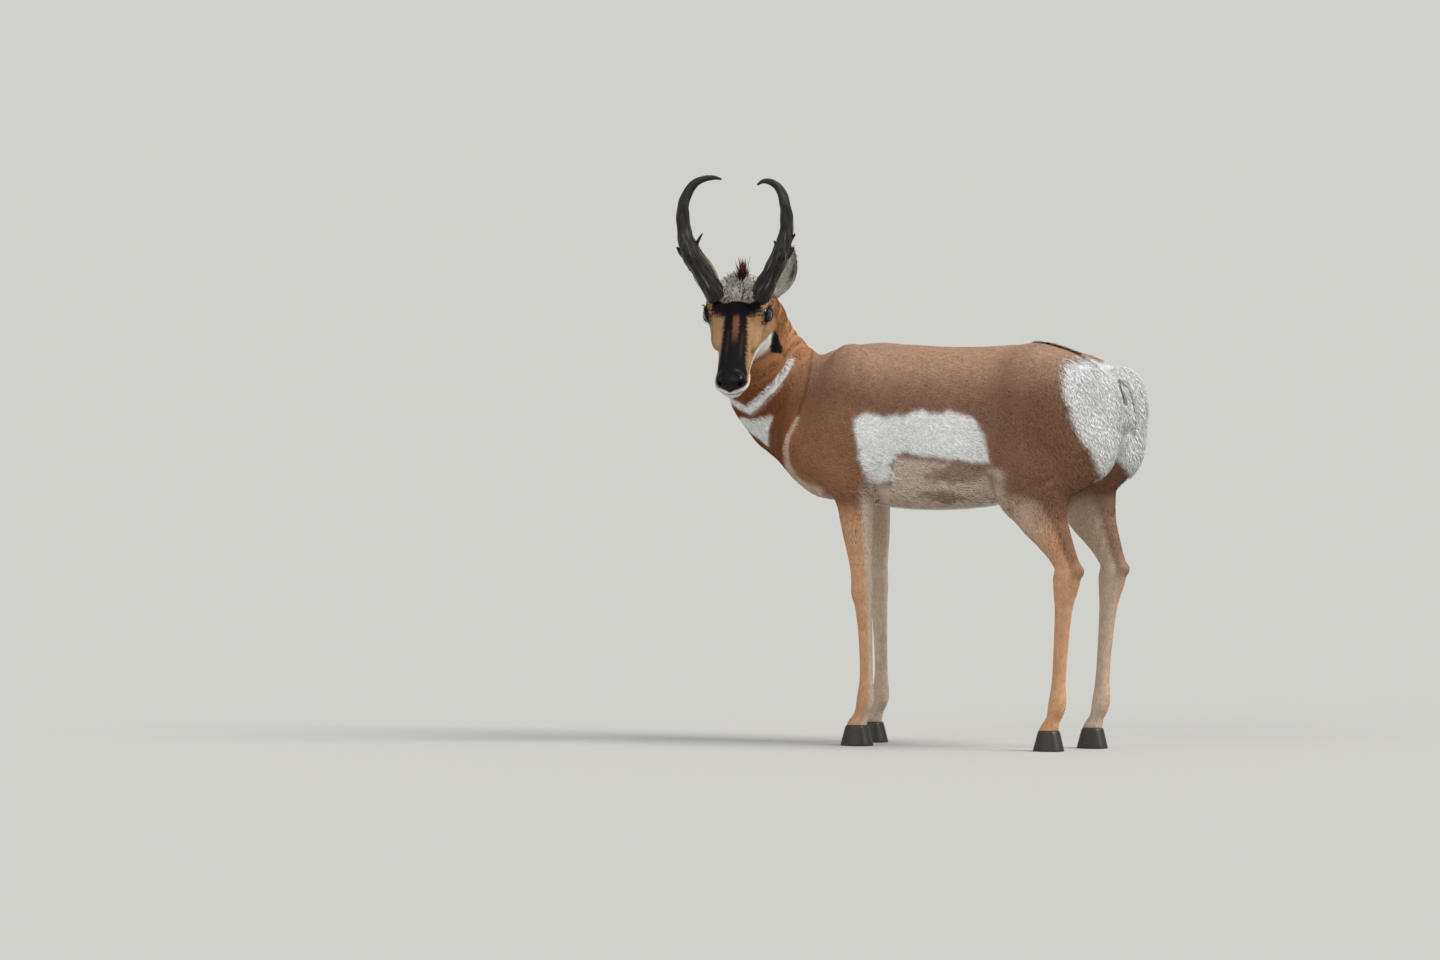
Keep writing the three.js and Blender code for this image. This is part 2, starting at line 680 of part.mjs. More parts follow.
// A closed ring of skin around the opening of an eye: longer than tall, thicker above.
function lidSolid(side) {
  const facing = headWay(EYE_WAY[0], EYE_WAY[1] * side, EYE_WAY[2]);
  const fore = unit(add(headWay(0.95, 0, -0.3), facing, -dot(headWay(0.95, 0, -0.3), facing)));
  const up = cross(fore, facing).map((v) => v * (dot(cross(fore, facing), CROWN) > 0 ? 1 : -1));
  const [count, sides] = [20, 5];
  const vertices = [];
  const faces = [];
  for (let i = 0; i < count; i++) {
    const angle = (i / count) * 2 * Math.PI;
    const [c, s] = [Math.cos(angle), Math.sin(angle)];
    const flat = add(fore.map((v) => v * c * 17.5), up, s * (s > 0 ? 12.5 : 11.5));
    const lift = Math.sqrt(Math.max((EYE_RADIUS + 2) ** 2 - dot(flat, flat), 0));
    const outward = unit(add(flat, facing, lift));
    const centre = add(eyeAt(side), outward, EYE_RADIUS + 1.2);
    const spread = unit(add(flat, outward, -dot(flat, outward)));
    const thick = s > 0 ? 3.4 : 2.6;
    for (let k = 0; k < sides; k++) {
      const turnBy = (k / sides) * 2 * Math.PI;
      vertices.push(add(add(centre, spread, Math.cos(turnBy) * (thick + 1.4)), outward, Math.sin(turnBy) * thick));
      const [a, b] = [i * sides, ((i + 1) % count) * sides];
      const l = (k + 1) % sides;
      faces.push([a + k, b + k, a + l], [a + l, b + k, b + l]);
    }
  }
  const solid = solidFrom(geometryOf(vertices, faces));
  return solid.volume() > 0 ? solid : solidFrom(geometryOf(vertices, faces.map(([a, b, c]) => [a, c, b])));
}

// A thin groove along the lips, from one corner of the mouth round the front to the other
function mouthSolid() {
  const rings = Array.from({ length: 15 }, (_, i) => {
    const share = (i / 14) * 2 - 1;
    const swing = share * degToRad(100);
    const back = fromHead(134, 0, -57);
    const bow = headWay(Math.cos(swing), Math.sin(swing), -0.03 + 0.09 * share * share);
    const stretch = reachOf(headField, back, bow, 90);
    const sideways = unit(cross(bow, CROWN));
    const centre = add(back, bow, stretch - 1.5);
    const fade = Math.abs(share) === 1 ? 0.3 : 1;
    return [
      add(centre, bow, 5 * fade),
      add(centre, CROWN, 1.7 * fade),
      add(centre, bow, -3.5 * fade),
      add(centre, CROWN, -1.7 * fade),
    ].map((p) => add(p, sideways, 0));
  });
  const mean = (ring) => ring.reduce((sum, p) => add(sum, p), [0, 0, 0]).map((v) => v / 4);
  return skinOver(rings, mean(rings[0]), mean(rings[14]));
}

function nostrilSolid(side) {
  const geometry = new THREE.SphereGeometry(1, 10, 7);
  geometry.scale(12, 4.2, 6.2);
  const basis = new THREE.Matrix4().makeBasis(
    new THREE.Vector3(...headWay(0.5, 0.55 * side, 0.42)),
    new THREE.Vector3(...unit(cross(headWay(0.5, 0.55 * side, 0.42), headWay(0.8, 0.3 * side, -0.5)))),
    new THREE.Vector3(
      ...cross(
        headWay(0.5, 0.55 * side, 0.42),
        unit(cross(headWay(0.5, 0.55 * side, 0.42), headWay(0.8, 0.3 * side, -0.5))),
      ),
    ),
  );
  geometry.applyMatrix4(basis);
  geometry.translate(...fromHead(190, 19 * side, -33));
  return solidFrom(geometry);
}

// A lock of hair: a flat blade that bends over and narrows to a point.
function lock(root, way, lean, across, long, wide, thick) {
  const rings = [0, 0.25, 0.5, 0.75, 0.93].map((t) => {
    const centre = add(add(root, way, long * t), lean, long * 0.45 * t * t);
    const half = wide * (0.62 + 0.9 * t - 1.45 * t * t);
    const deep = thick * (1 - 0.8 * t);
    const normal = unit(cross(across, way));
    return [add(centre, across, half), add(centre, normal, deep), add(centre, across, -half), add(centre, normal, -deep)];
  });
  const tip = add(add(root, way, long), lean, long * 0.45);
  return skinOver(rings, add(root, way, -1), tip);
}

// Gives the same run of numbers between 0 and 1 each time.
function seeded(seed) {
  let state = seed;
  return () => {
    state = (state * 1664525 + 1013904223) % 4294967296;
    return state / 4294967296;
  };
}

// Rings that run up the neck. They start on the plane where the neck leaves the trunk, and end inside the skull.
const NECK_PATH = [
  [0, 470, 0, 740],
  [1, 516, 18, 782],
  [2, 546, 40, 842],
  [3, 562, 62, 888],
  [4, ...HEAD_PLANE.at],
];
const NECK_END = [-0.1, 0.6, 0.79];
const { smoothstep } = THREE.MathUtils;
function neckStation(t) {
  const centre = along(NECK_PATH, t);
  const path = unit(add(along(NECK_PATH, t + 0.05), along(NECK_PATH, t - 0.05), -1));
  const low = mix(NECK_PLANE.normal, path, smoothstep(t, 0, 1.4));
  const axis = unit(mix(low, NECK_END, smoothstep(t, 2, 4)));
  const side = unit(mix([0, 1, 0], SIDE, smoothstep(t, 0.3, 3.5)));
  const v = unit(add(side, axis, -dot(side, axis)));
  return { centre, u: cross(v, axis), v, axis };
}
const movedAlong = (ring, distance) => ({ ...ring, centre: add(ring.centre, ring.axis, distance) });
const neckRings = Array.from({ length: 12 }, (_, i) => neckStation(i / 2.75));
neckRings[0] = movedAlong(neckRings[0], GAP / 2);
const SIDES = 24;
const neckSolid = ringSolid(frontField, neckRings, SIDES, [neckRings[0].centre, neckRings[11].centre]);
const stubRings = [-60, -30, 1].map((distance) => movedAlong(neckStation(0), distance));
const stubSolid = ringSolid(frontField, stubRings, SIDES, [stubRings[0].centre, stubRings[2].centre]);

// Rings that run up the head to the nose. The neck's flesh joins in only close to where it meets the skull.
const nearNape = (p) => length(add(p, HEAD_PLANE.at, -1)) - 84;
const headFlesh = (p) => blend(Math.max(neckField(p), nearNape(p)), headField(p), 30);
const headRings = Array.from({ length: 28 }, (_, i) => {
  const share = i / 27;
  const a = -106 + 302 * (share + 0.06 * Math.sin(share * Math.PI) ** 2);
  const [top, bottom] = along(SKULL, a);
  return { centre: fromHead(a, 0, top * 0.45 + bottom * 0.55), u: CROWN, v: SIDE };
});
const headSolid = ringSolid(headFlesh, headRings, SIDES, [fromHead(-113, 0, -8), fromHead(203, 0, -43)]);

// The space that the head takes up: in front of the plane across the nape, and above the throat
function headRegion(offset) {
  const geometry = new THREE.BoxGeometry(460, 190, 304);
  geometry.translate(30, 0, 46);
  geometry.applyMatrix4(new THREE.Matrix4().makeBasis(...[FORE, SIDE, CROWN].map((a) => new THREE.Vector3(...a))));
  geometry.translate(...add(HEAD_AT, CROWN, offset));
  return solidFrom(geometry).intersect(beyondPlane(HEAD_PLANE.at, HEAD_PLANE.normal, offset));
}

// Tufts down the back of the neck, laid towards the trunk
const random = seeded(7);
function maneSolid() {
  let mane = null;
  for (let i = 0; i < 24; i++) {
    const { centre, u, v, axis } = neckStation(3.7 - (i / 23) * 3.5);
    const back = unit(add(u.map((x) => -x), v, (random() - 0.5) * 0.45));
    const root = add(centre, back, reachOf(frontField, centre, back, 200) - 6);
    const way = unit(add(add(axis.map((x) => -x), back, 0.42), v, (random() - 0.5) * 0.4));
    const across = unit(cross(way, back));
    const lean = add(axis.map((x) => -x), back, -0.4);
    const tuft = lock(root, way, lean, across, 36 + 12 * random(), 11 + 3 * random(), 3.4);
    mane = mane ? mane.add(tuft) : tuft;
  }
  return mane;
}

// The upright tuft on the crown between the horns
function crownSolid() {
  let crown = null;
  for (let i = 0; i < 9; i++) {
    const [a, b] = [-80 + 3.5 * i, 6 + (random() - 0.5) * 12];
    const start = fromHead(a, b, 10);
    const root = add(start, CROWN, reachOf(frontField, start, CROWN, 60) - 6);
    const way = headWay(-0.12 + 0.2 * random(), (6 - b) * 0.012, 1);
    const across = unit(cross(way, headWay(1, 0.6 * random(), 0)));
    const tuft = lock(root, way, headWay(-0.5, 0.1, 0.4), across, 19 + 9 * random(), 8.5, 3.6);
    crown = crown ? crown.add(tuft) : tuft;
  }
  return crown;
}

// Claws: two to a foot, each with a flat sole, a straight inner wall and a bowed outer wall
function clawSolid(x, y, outward, sizes) {
  const rings = [0, 0.12, 0.45, 0.8, 1].map((t) => {
    const z = t * (HOOF_CUT - GAP);
    const inset = t === 0 ? 1.2 : 0;
    const front = sizes.toe + (sizes.crown - sizes.toe) * t - inset;
    const back = sizes.heel + (sizes.back - sizes.heel) * t + inset;
    const wide = sizes.half + (sizes.top - sizes.half) * t - inset;
    const [centre, half] = [(front + back) / 2, (front - back) / 2];
    const outer = Array.from({ length: 9 }, (_, k) => {
      const angle = Math.PI * (k / 8);
      const bow = 1.2 + wide * Math.sin(angle) ** 0.75;
      return [x + centre + half * Math.cos(angle), y + outward * bow, z];
    });
    const inner = [-0.45, 0.35].map((share) => [x + centre + half * share, y + outward * 0.9, z]);
    return [...outer, ...inner];
  });
  const mean = (ring) => ring.reduce((sum, p) => add(sum, p), [0, 0, 0]).map((v) => v / ring.length);
  return skinOver(rings, mean(rings[0]), mean(rings[4]));
}

// Torso, neck and head: joined into one body first, so that each pair meets on one shared outline
const TORSO_BOX = { low: [-352, -150, 467], high: [548, 150, 900] };
const trunkSolid = gridSolid(bodyField, TORSO_BOX.low, TORSO_BOX.high, [38, 32, 29]);
const neckOn = (offset) => beyondPlane(NECK_PLANE.at, NECK_PLANE.normal, offset);
let torso = trunkSolid.add(stubSolid).subtract(neckOn(-GAP / 2));
torso = torso.subtract(block([0, -200, 400], [480, 200, FORE_CUT]));
torso = torso.subtract(block([-360, -200, 400], [-56, 200, HIND_CUT]));
torso = torso.subtract(tailSolid(GAP + 0.1));
place("torso", torso, FINISH.coat);
place("tail", tailSolid(0), FINISH.rump);

const neck = neckSolid.add(headSolid).add(maneSolid()).intersect(neckOn(GAP / 2)).subtract(headRegion(-GAP / 2));
place("neck", neck, FINISH.coat);

let head = headSolid.add(neckSolid).add(crownSolid()).intersect(headRegion(GAP / 2));
for (const side of [1, -1]) head = head.add(lidSolid(side));
for (const side of [1, -1]) head = head.subtract(eyeBall(side, EYE_RADIUS + GAP)).subtract(nostrilSolid(side));
head = head.subtract(mouthSolid());
for (const [name, side] of [["left", 1], ["right", -1]]) {
  head = head.subtract(hornSocket(name, side)).subtract(earSolid(name, side, 2 * GAP));
  place("eye_" + name, eyeBall(side, EYE_RADIUS), FINISH.eye);
  place("horn_" + name, hornSolid(name, side), FINISH.horn);
}
place("head", head, FINISH.coat);
for (const [name, side] of [["left", 1], ["right", -1]]) {
  place("ear_" + name, earSolid(name, side).subtract(head), FINISH.coat);
}

// Legs, each in an upper and a lower length, and the claws below them
const FORE_CLAW = { toe: 37, crown: 24, heel: -34, back: -22, half: 26, top: 20 };
const HIND_CLAW = { toe: 35, crown: 22, heel: -32, back: -21, half: 24, top: 19 };
for (const name in legs) {
  const fore = name.startsWith("fore");
  const side = name.endsWith("left") ? 1 : -1;
  const step = side > 0 ? 0 : fore ? RIGHT_FORE_STEP : RIGHT_HIND_STEP;
  const rows = shifted(fore ? FORELEG : HINDLEG, step, side);
  const byHeight = rows.map(([x, y, z]) => [z, x, y]).reverse();
  const part = (low, high, count, sides) => {
    const rings = Array.from({ length: count }, (_, i) => {
      const z = low + ((high - low) * i) / (count - 1);
      const [x, y] = along(byHeight, z);
      return { centre: [x, y, z], u: [1, 0, 0], v: [0, 1, 0] };
    });
    return ringSolid(bodyField, rings, sides, [rings[0].centre, rings[count - 1].centre]);
  };
  const [top, middle] = fore ? [FORE_CUT, KNEE_CUT] : [HIND_CUT, HOCK_CUT];
  place(name + "_upper", part(middle + GAP / 2, top - GAP, fore ? 10 : 7, 16), FINISH.coat);
  place(name + "_lower", part(HOOF_CUT, middle - GAP / 2, fore ? 15 : 18, 12), FINISH.coat);
  const [x, y] = along(byHeight, HOOF_CUT);
  for (const [which, way] of [["outer", side], ["inner", -side]]) {
    place(name + "_claw_" + which, clawSolid(x, y, way, fore ? FORE_CLAW : HIND_CLAW), FINISH.hoof);
  }
}

group.updateMatrixWorld(true);
const bounds = new THREE.Box3().setFromObject(group);
const middle = bounds.getCenter(new THREE.Vector3());
group.position.set(-middle.x, -middle.y, -bounds.min.z);

export default group;
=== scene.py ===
# A pronghorn buck, life size, standing square with its neck raised and its head turned back past its left side.
# The flesh is one field in millimetres along the animal's own axes. Its meshes are in metres, in the CAD frame.
import math

import bpy
import numpy as np
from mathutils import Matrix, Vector


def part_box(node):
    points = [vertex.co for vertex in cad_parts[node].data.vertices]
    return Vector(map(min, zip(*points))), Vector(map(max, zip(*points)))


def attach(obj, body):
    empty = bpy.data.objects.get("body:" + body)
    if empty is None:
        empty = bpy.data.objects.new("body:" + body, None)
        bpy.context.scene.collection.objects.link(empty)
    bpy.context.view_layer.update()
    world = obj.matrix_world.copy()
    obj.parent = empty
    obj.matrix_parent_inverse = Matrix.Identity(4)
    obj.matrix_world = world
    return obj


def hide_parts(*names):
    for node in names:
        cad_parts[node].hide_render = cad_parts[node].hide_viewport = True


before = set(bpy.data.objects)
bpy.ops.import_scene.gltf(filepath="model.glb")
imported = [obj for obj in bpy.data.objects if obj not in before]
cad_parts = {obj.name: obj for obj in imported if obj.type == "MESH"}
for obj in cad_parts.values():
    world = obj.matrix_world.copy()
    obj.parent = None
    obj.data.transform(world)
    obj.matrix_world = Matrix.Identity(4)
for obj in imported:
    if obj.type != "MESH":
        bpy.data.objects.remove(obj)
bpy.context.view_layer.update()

# Head's place and axes
# The head is turned well to the left of the trunk and its muzzle points below level. FORE runs to the nose, SIDE to
# the animal's left, CROWN up through the forehead. The left eyeball's box says where the frame has put the animal.
MM = 0.001
HEAD_AT = np.array([546.0, 150.0, 905.0])
HEAD_TURN = math.radians(112)
HEAD_DROP = math.radians(36)
FORE = np.array([
    math.cos(HEAD_TURN) * math.cos(HEAD_DROP),
    math.sin(HEAD_TURN) * math.cos(HEAD_DROP),
    -math.sin(HEAD_DROP),
])
SIDE = np.array([-math.sin(HEAD_TURN), math.cos(HEAD_TURN), 0.0])
CROWN = np.cross(FORE, SIDE)
HEAD_AXES = np.array([FORE, SIDE, CROWN])
EYE_AT = np.array([12.0, 53.0, 13.0])
EYE_RADIUS = 19.5


def from_head(h):
    return HEAD_AT + np.asarray(h, float) @ HEAD_AXES


def to_head(p):
    return (p - HEAD_AT) @ HEAD_AXES.T


eye_low, eye_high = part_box("eye_left")
SHIFT = np.array((eye_low + eye_high) / 2) - from_head(EYE_AT) * MM
SHIFT[2] = 0.0


def to_frame(p):
    return np.asarray(p, float) * MM + SHIFT


def left_twin(p):
    """The same place on the animal's left half, in the body's axes or the head's."""
    return p * [1, 0, 1] + np.abs(p) * [0, 1, 0]


# Camera
# The photograph was taken from far off with a long lens, from behind the animal's left flank and a little above.
# It is 1440 pixels wide, and a pixel covers 2.1 mm at the animal's distance.
PHOTO_TURN = math.radians(210)
PHOTO_RISE = math.radians(2)
PHOTO_MM_PER_PIXEL = 2.1
PHOTO_WIDTH, PHOTO_HEIGHT = 1440, 960
LENS, SENSOR, FARTHEST = 400.0, 36.0, 4000.0
AIM = to_frame([509.0, 294.0, 563.0])


def bearing(turn, rise):
    return Vector((math.sin(turn) * math.cos(rise), -math.cos(turn) * math.cos(rise), math.sin(rise)))


away = bearing(PHOTO_TURN, PHOTO_RISE)
camera_data = bpy.data.cameras.new("long_lens")
camera_data.lens = LENS
camera_data.sensor_width = SENSOR
camera_data.clip_end = FARTHEST
camera = bpy.data.objects.new("camera", camera_data)
camera.location = Vector(AIM) + away * (PHOTO_MM_PER_PIXEL * MM * PHOTO_WIDTH * LENS / SENSOR)
camera.rotation_euler = away.to_track_quat("Z", "Y").to_euler()
bpy.context.scene.collection.objects.link(camera)
bpy.context.scene.camera = camera


# Studio floor and light
# A wide pale matt floor under one large soft box, high on the camera's right, and a weaker one lower on its left.
# They stand for the open sky of a bright, hazy day.
def linear(hex_colour):
    value = [int(hex_colour[i:i + 2], 16) / 255 for i in (1, 3, 5)]
    return np.array([v / 12.92 if v <= 0.04045 else ((v + 0.055) / 1.055) ** 2.4 for v in value])


def node(tree, kind, inputs=None, **settings):
    made = tree.nodes.new("ShaderNode" + kind)
    for name, value in settings.items():
        setattr(made, name, value)
    for name, value in (inputs or {}).items():
        if isinstance(value, bpy.types.NodeSocket):
            tree.links.new(value, made.inputs[name])
        else:
            made.inputs[name].default_value = value
    return made


def new_material(name):
    material = bpy.data.materials.new(name)
    material.use_nodes = True
    tree = material.node_tree
    tree.nodes.clear()
    return material, tree


def finish_material(tree, inputs):
    shader = node(tree, "BsdfPrincipled", inputs)
    node(tree, "OutputMaterial", {"Surface": shader.outputs[0]})


def rgba(hex_colour):
    return (*map(float, linear(hex_colour)), 1.0)


def mixed(tree, share, first, second):
    return node(tree, "MixRGB", {"Fac": share, "Color1": first, "Color2": second}).outputs[0]


def add_mesh(name, vertices, triangles, material):
    vertices = np.asarray(vertices, np.float32)
    triangles = np.asarray(triangles, np.int32)
    mesh = bpy.data.meshes.new(name)
    mesh.vertices.add(len(vertices))
    mesh.vertices.foreach_set("co", vertices.ravel())
    mesh.loops.add(triangles.size)
    mesh.loops.foreach_set("vertex_index", triangles.ravel())
    mesh.polygons.add(len(triangles))
    mesh.polygons.foreach_set("loop_start", np.arange(0, triangles.size, 3, dtype=np.int32))
    mesh.polygons.foreach_set("use_smooth", np.ones(len(triangles), bool))
    mesh.update(calc_edges=True)
    mesh.materials.append(material)
    piece = bpy.data.objects.new(name, mesh)
    bpy.context.scene.collection.objects.link(piece)
    return piece


FLOOR_HALF = 1500.0
LAMP_AWAY = 6.0
SKY_STRENGTH = 0.56
floor_material, tree = new_material("painted_plaster_pale")
speckle = node(tree, "TexNoise", {"Scale": 3.0, "Detail": 4.0}).outputs["Fac"]
plaster = mixed(tree, speckle, rgba("#b9b7b1"), rgba("#bfbdb8"))
finish_material(tree, {"Base Color": plaster, "Roughness": 0.9})
corner = FLOOR_HALF * np.array([[-1, -1, 0], [1, -1, 0], [1, 1, 0], [-1, 1, 0]])
floor = add_mesh("floor", corner, [[0, 1, 2], [0, 2, 3]], floor_material)


def soft_sun(name, turn, rise, spread, strength):
    """A very large soft box seen from far off: light from one side, with edges as soft as `spread` degrees."""
    light = bpy.data.lights.new(name, "SUN")
    light.angle = math.radians(spread)
    light.energy = strength
    way = bearing(turn, rise)
    lamp = bpy.data.objects.new(name, light)
    lamp.location = Vector(AIM) + way * LAMP_AWAY
    lamp.rotation_euler = way.to_track_quat("Z", "Y").to_euler()
    bpy.context.scene.collection.objects.link(lamp)


soft_sun("top_box", PHOTO_TURN + math.radians(62), math.radians(48), spread=30, strength=3.0)
soft_sun("side_box", PHOTO_TURN - math.radians(40), math.radians(28), spread=50, strength=0.7)
world = bpy.data.worlds.new("pale_room")
world.use_nodes = True
sky = world.node_tree.nodes["Background"].inputs
sky["Color"].default_value = rgba("#e9edf0")
sky["Strength"].default_value = SKY_STRENGTH
bpy.context.scene.world = world
bpy.context.scene.view_settings.view_transform = "Standard"

# Body's form
# Flesh and bone under the skin: a deep chest, a tucked belly, round haunches and a thick neck in rut, on thin legs.
# A profile row holds x, top, bottom, half width and taper, a limb row its middle, half width, half depth and heading.
# A muscle is an egg-shaped mass, blended into the rest: its middle, three half sizes and a tilt in degrees.
TRUNK = [
    [-298, 744, 655, 34, 0], [-287, 766, 625, 60, 0], [-262, 789, 596, 82, 0], [-230, 813, 568, 95, 0.05],
    [-180, 841, 548, 103, 0.05], [-110, 857, 532, 106, 0.02], [-40, 857, 511, 106, -0.02],
    [40, 852, 497, 113, -0.04], [130, 850, 490, 119, -0.02], [220, 853, 489, 114, 0.06],
    [300, 855, 494, 104, 0.16], [360, 848, 502, 93, 0.2], [410, 835, 501, 82, 0.2], [450, 808, 513, 70, 0.1],
    [490, 770, 545, 54, 0], [515, 740, 588, 36, 0],
]
SHOULDER = [[300, 70, 740, 78, 40, 112, -20], [268, 74, 640, 60, 40, 80, 0], [345, 84, 655, 88, 38, 78, 0]]
HAUNCH = [
    [-155, 70, 705, 114, 50, 126, 0], [-208, 74, 640, 84, 46, 108, 0], [-258, 56, 716, 70, 45, 94, 0],
    [-262, 60, 640, 54, 40, 70, 0], [-112, 82, 600, 72, 36, 96, -18],
]
SHOULDER_POINT, ELBOW, HIP, STIFLE = [452, 66, 640], [318, 82, 556], [-96, 50, 796], [-92, 80, 536]
FORELEG = [
    [316, 74, 610, 42, 66, 0], [311, 76, 555, 37, 54, 0], [305, 75, 500, 32, 45, 0], [299, 74, 440, 27, 35, 0],
    [294, 73, 380, 22, 26.5, 0], [292, 72, 345, 23, 25.5, 0], [292, 72, 322, 23.5, 25, 0],
    [288, 72, 292, 18.5, 20.5, 0], [284, 71, 230, 14, 17.5, 0], [282, 71, 150, 13.5, 16.5, 0],
    [284, 71, 98, 18.5, 21, 0], [294, 71, 66, 17, 17.5, 0], [305, 71, 40, 21, 24, 0],
]
HINDLEG = [
    [-128, 92, 560, 46, 84, 0], [-146, 90, 510, 40, 66, 0], [-168, 87, 462, 30, 45, 0], [-188, 84, 420, 21, 31, 0],
    [-202, 82, 388, 18, 27, 0], [-204, 81, 360, 22, 32, 0], [-200, 80, 330, 21.5, 27, 0],
    [-196, 79, 296, 17, 21.5, 0], [-190, 78, 230, 14, 18.5, 0], [-184, 77, 150, 13.5, 17.5, 0],
    [-180, 77, 98, 18.5, 21.5, 0], [-170, 77, 66, 16.5, 17.5, 0], [-159, 77, 40, 20.5, 23, 0],
]
HOCK, HOCK_POINT, TENDON_TOP = [-204, 81, 346], [-232, 81, 378], [-196, 86, 470]
RIGHT_FORE_STEP, RIGHT_HIND_STEP = 44, -20
NECK = [
    [300, 0, 654, 90, 130, 0], [446, 4, 684, 78, 126, 0], [523, 20, 750, 68, 113, 22], [549, 41, 820, 63, 92, 55],
    [554, 58, 880, 65, 80, 85], [558, 82, 924, 58, 64, 105],
]
TAIL = [
    [-286, 0, 776, 15, 12, 0], [-303, 0, 752, 19, 15, 0], [-315, 0, 712, 18, 14, 0], [-318, 0, 672, 14, 11, 0],
    [-314, 0, 640, 7, 6, 0],
]
SKULL = [
    [-112, 12, -30, 22, 0], [-98, 26, -56, 38, 0], [-80, 36, -74, 49, -0.05], [-50, 44, -90, 54, -0.08],
    [-20, 49, -96, 55, -0.1], [10, 45, -95, 53, -0.1], [40, 36, -88, 48, -0.16], [70, 21, -81, 40, -0.2],
    [100, 9, -76, 37, -0.18], [130, 0, -74, 35.5, -0.12], [155, -7, -75, 34.5, -0.06], [172, -11, -77, 33, 0],
    [185, -17, -74, 28.5, 0], [194, -24, -66, 21, 0], [200, -33, -55, 11, 0],
]
ORBIT, BROW = [10, 45, 12, 37, 23, 27, -14], [-10, 49, 33, 37, 21, 20, -20]
CHEEK, CHEEKBONE = [-18, 44, -40, 46, 22, 44, 20], [45, 40, -8, 48, 16, 16, -16]
LIP, NOSTRIL_RIM, CHIN = [158, 22, -52, 34, 17, 14, 0], [182, 19, -31, 17, 14.5, 15, 0], [163, 0, -69, 29, 24, 17, 2]
EYE_WAY = np.array([0.34, 0.93, 0.12])
LID_HALF, LID_UP, LID_DOWN = 17.5, 12.5, 11.5
LID_GAP = 0.25
NOSTRIL_AT = np.array([190.0, 19.0, -33.0])
MOUTH_BACK = np.array([134.0, 0.0, -57.0])
FACE_MIDDLE, FACE_REACH = [60, 0, -20], 190
SHOULDER_BLEND, HAUNCH_BLEND, THIGH_BLEND = 34, 30, 60
ROOT_BLEND, TAIL_BLEND, HEAD_BLEND = 26, 10, 30


def along(rows, x):
    rows = np.asarray(rows, float)
    key, value = rows[:, 0], rows[:, 1:]
    place = np.arange(len(key))
    ahead, behind = np.minimum(place + 1, len(key) - 1), np.maximum(place - 1, 0)
    slope = (value[ahead] - value[behind]) / (key[ahead] - key[behind])[:, None]
    x = np.clip(x, key[0], key[-1])
    i = np.clip(np.searchsorted(key, x, side="right") - 1, 0, len(key) - 2)
    step = (key[i + 1] - key[i])[..., None]
    t = (x - key[i])[..., None] / step
    return (
        value[i] * (2 * t**3 - 3 * t**2 + 1) + slope[i] * step * (t**3 - 2 * t**2 + t)
        + value[i + 1] * (3 * t**2 - 2 * t**3) + slope[i + 1] * step * (t**3 - t**2)
    )


def ease(x, low, high):
    t = np.clip((x - low) / (high - low), 0, 1)
    return t * t * (3 - 2 * t)


def blend(a, b, width):
    h = np.maximum(width - np.abs(a - b), 0) / width
    return np.minimum(a, b) - h * h * width / 4


def profile_field(p, rows, power):
    top, bottom, half, taper = along(rows, p[:, 0]).T
    tall = np.maximum((top - bottom) / 2, 1)
    v = (p[:, 2] - (top + bottom) / 2) / tall
    wide = np.maximum(half * (1 + taper * np.clip(v, -1, 1)), 1)
    share = (np.abs(p[:, 1] / wide) ** power + np.abs(v) ** power) ** (1 / power)
    beyond = np.maximum(np.maximum(rows[0][0] - p[:, 0], p[:, 0] - rows[-1][0]), 0)
    return (share - 1) * np.minimum(wide, tall) + beyond


def egg_depth(d, k):
    """Distance to an egg's surface, from the way `d` off its middle and the share `k` of the way out."""
    return np.linalg.norm(d, axis=1) * (1 - 1 / np.maximum(k, 1e-6))


def mass_field(p, row):
    d = p - np.array(row[:3], float)
    c, s = math.cos(math.radians(row[6])), math.sin(math.radians(row[6]))
    k = np.sqrt(
        ((d[:, 0] * c + d[:, 2] * s) / row[3]) ** 2 + (d[:, 1] / row[4]) ** 2
        + ((d[:, 2] * c - d[:, 0] * s) / row[5]) ** 2
    )
    return egg_depth(d, k)


def bar_field(p, a, b, ra, rb):
    a, b = np.array(a, float), np.array(b, float)
    t = np.clip((p - a) @ (b - a) / ((b - a) @ (b - a)), 0, 1)
    return np.linalg.norm(p - a - t[:, None] * (b - a), axis=1) - (ra + (rb - ra) * t)


def limb_of(rows, per_row):
    numbered = [[i, *row] for i, row in enumerate(rows)]
    stations = along(numbered, np.arange((len(rows) - 1) * per_row + 1) / per_row)
    return list(zip(stations[:-1], stations[1:]))


FAR_OFF = 160.0
LIMB_REACH = 60


def limb_field(p, limb):
    ends = np.array([a for a, b in limb] + [limb[-1][1]])
    reach = ends[:, 3:5].max() + LIMB_REACH
    near = np.all((p > ends[:, :3].min(0) - reach) & (p < ends[:, :3].max(0) + reach), axis=1)
    best = np.full(len(p), FAR_OFF)
    q = p[near]
    found = np.full(len(q), FAR_OFF)
    for a, b in limb:
        ab = b[:3] - a[:3]
        t = np.clip((q - a[:3]) @ ab / (ab @ ab), 0, 1)
        row = a + t[:, None] * (b - a)
        o = q - row[:, :3]
        heading = np.radians(row[:, 5])
        across = -np.sin(heading) * o[:, 0] + np.cos(heading) * o[:, 1]
        square = (o * o).sum(1)
        rest = np.sqrt(np.maximum(square - across**2, 0))
        k = np.hypot(across / row[:, 3], rest / row[:, 4])
        found = np.minimum(found, np.sqrt(square) * (1 - 1 / np.maximum(k, 1e-6)))
    best[near] = found
    return best


def stepped(rows, step, side):
    return [[x + step, y * side, *rest] for x, y, *rest in rows]


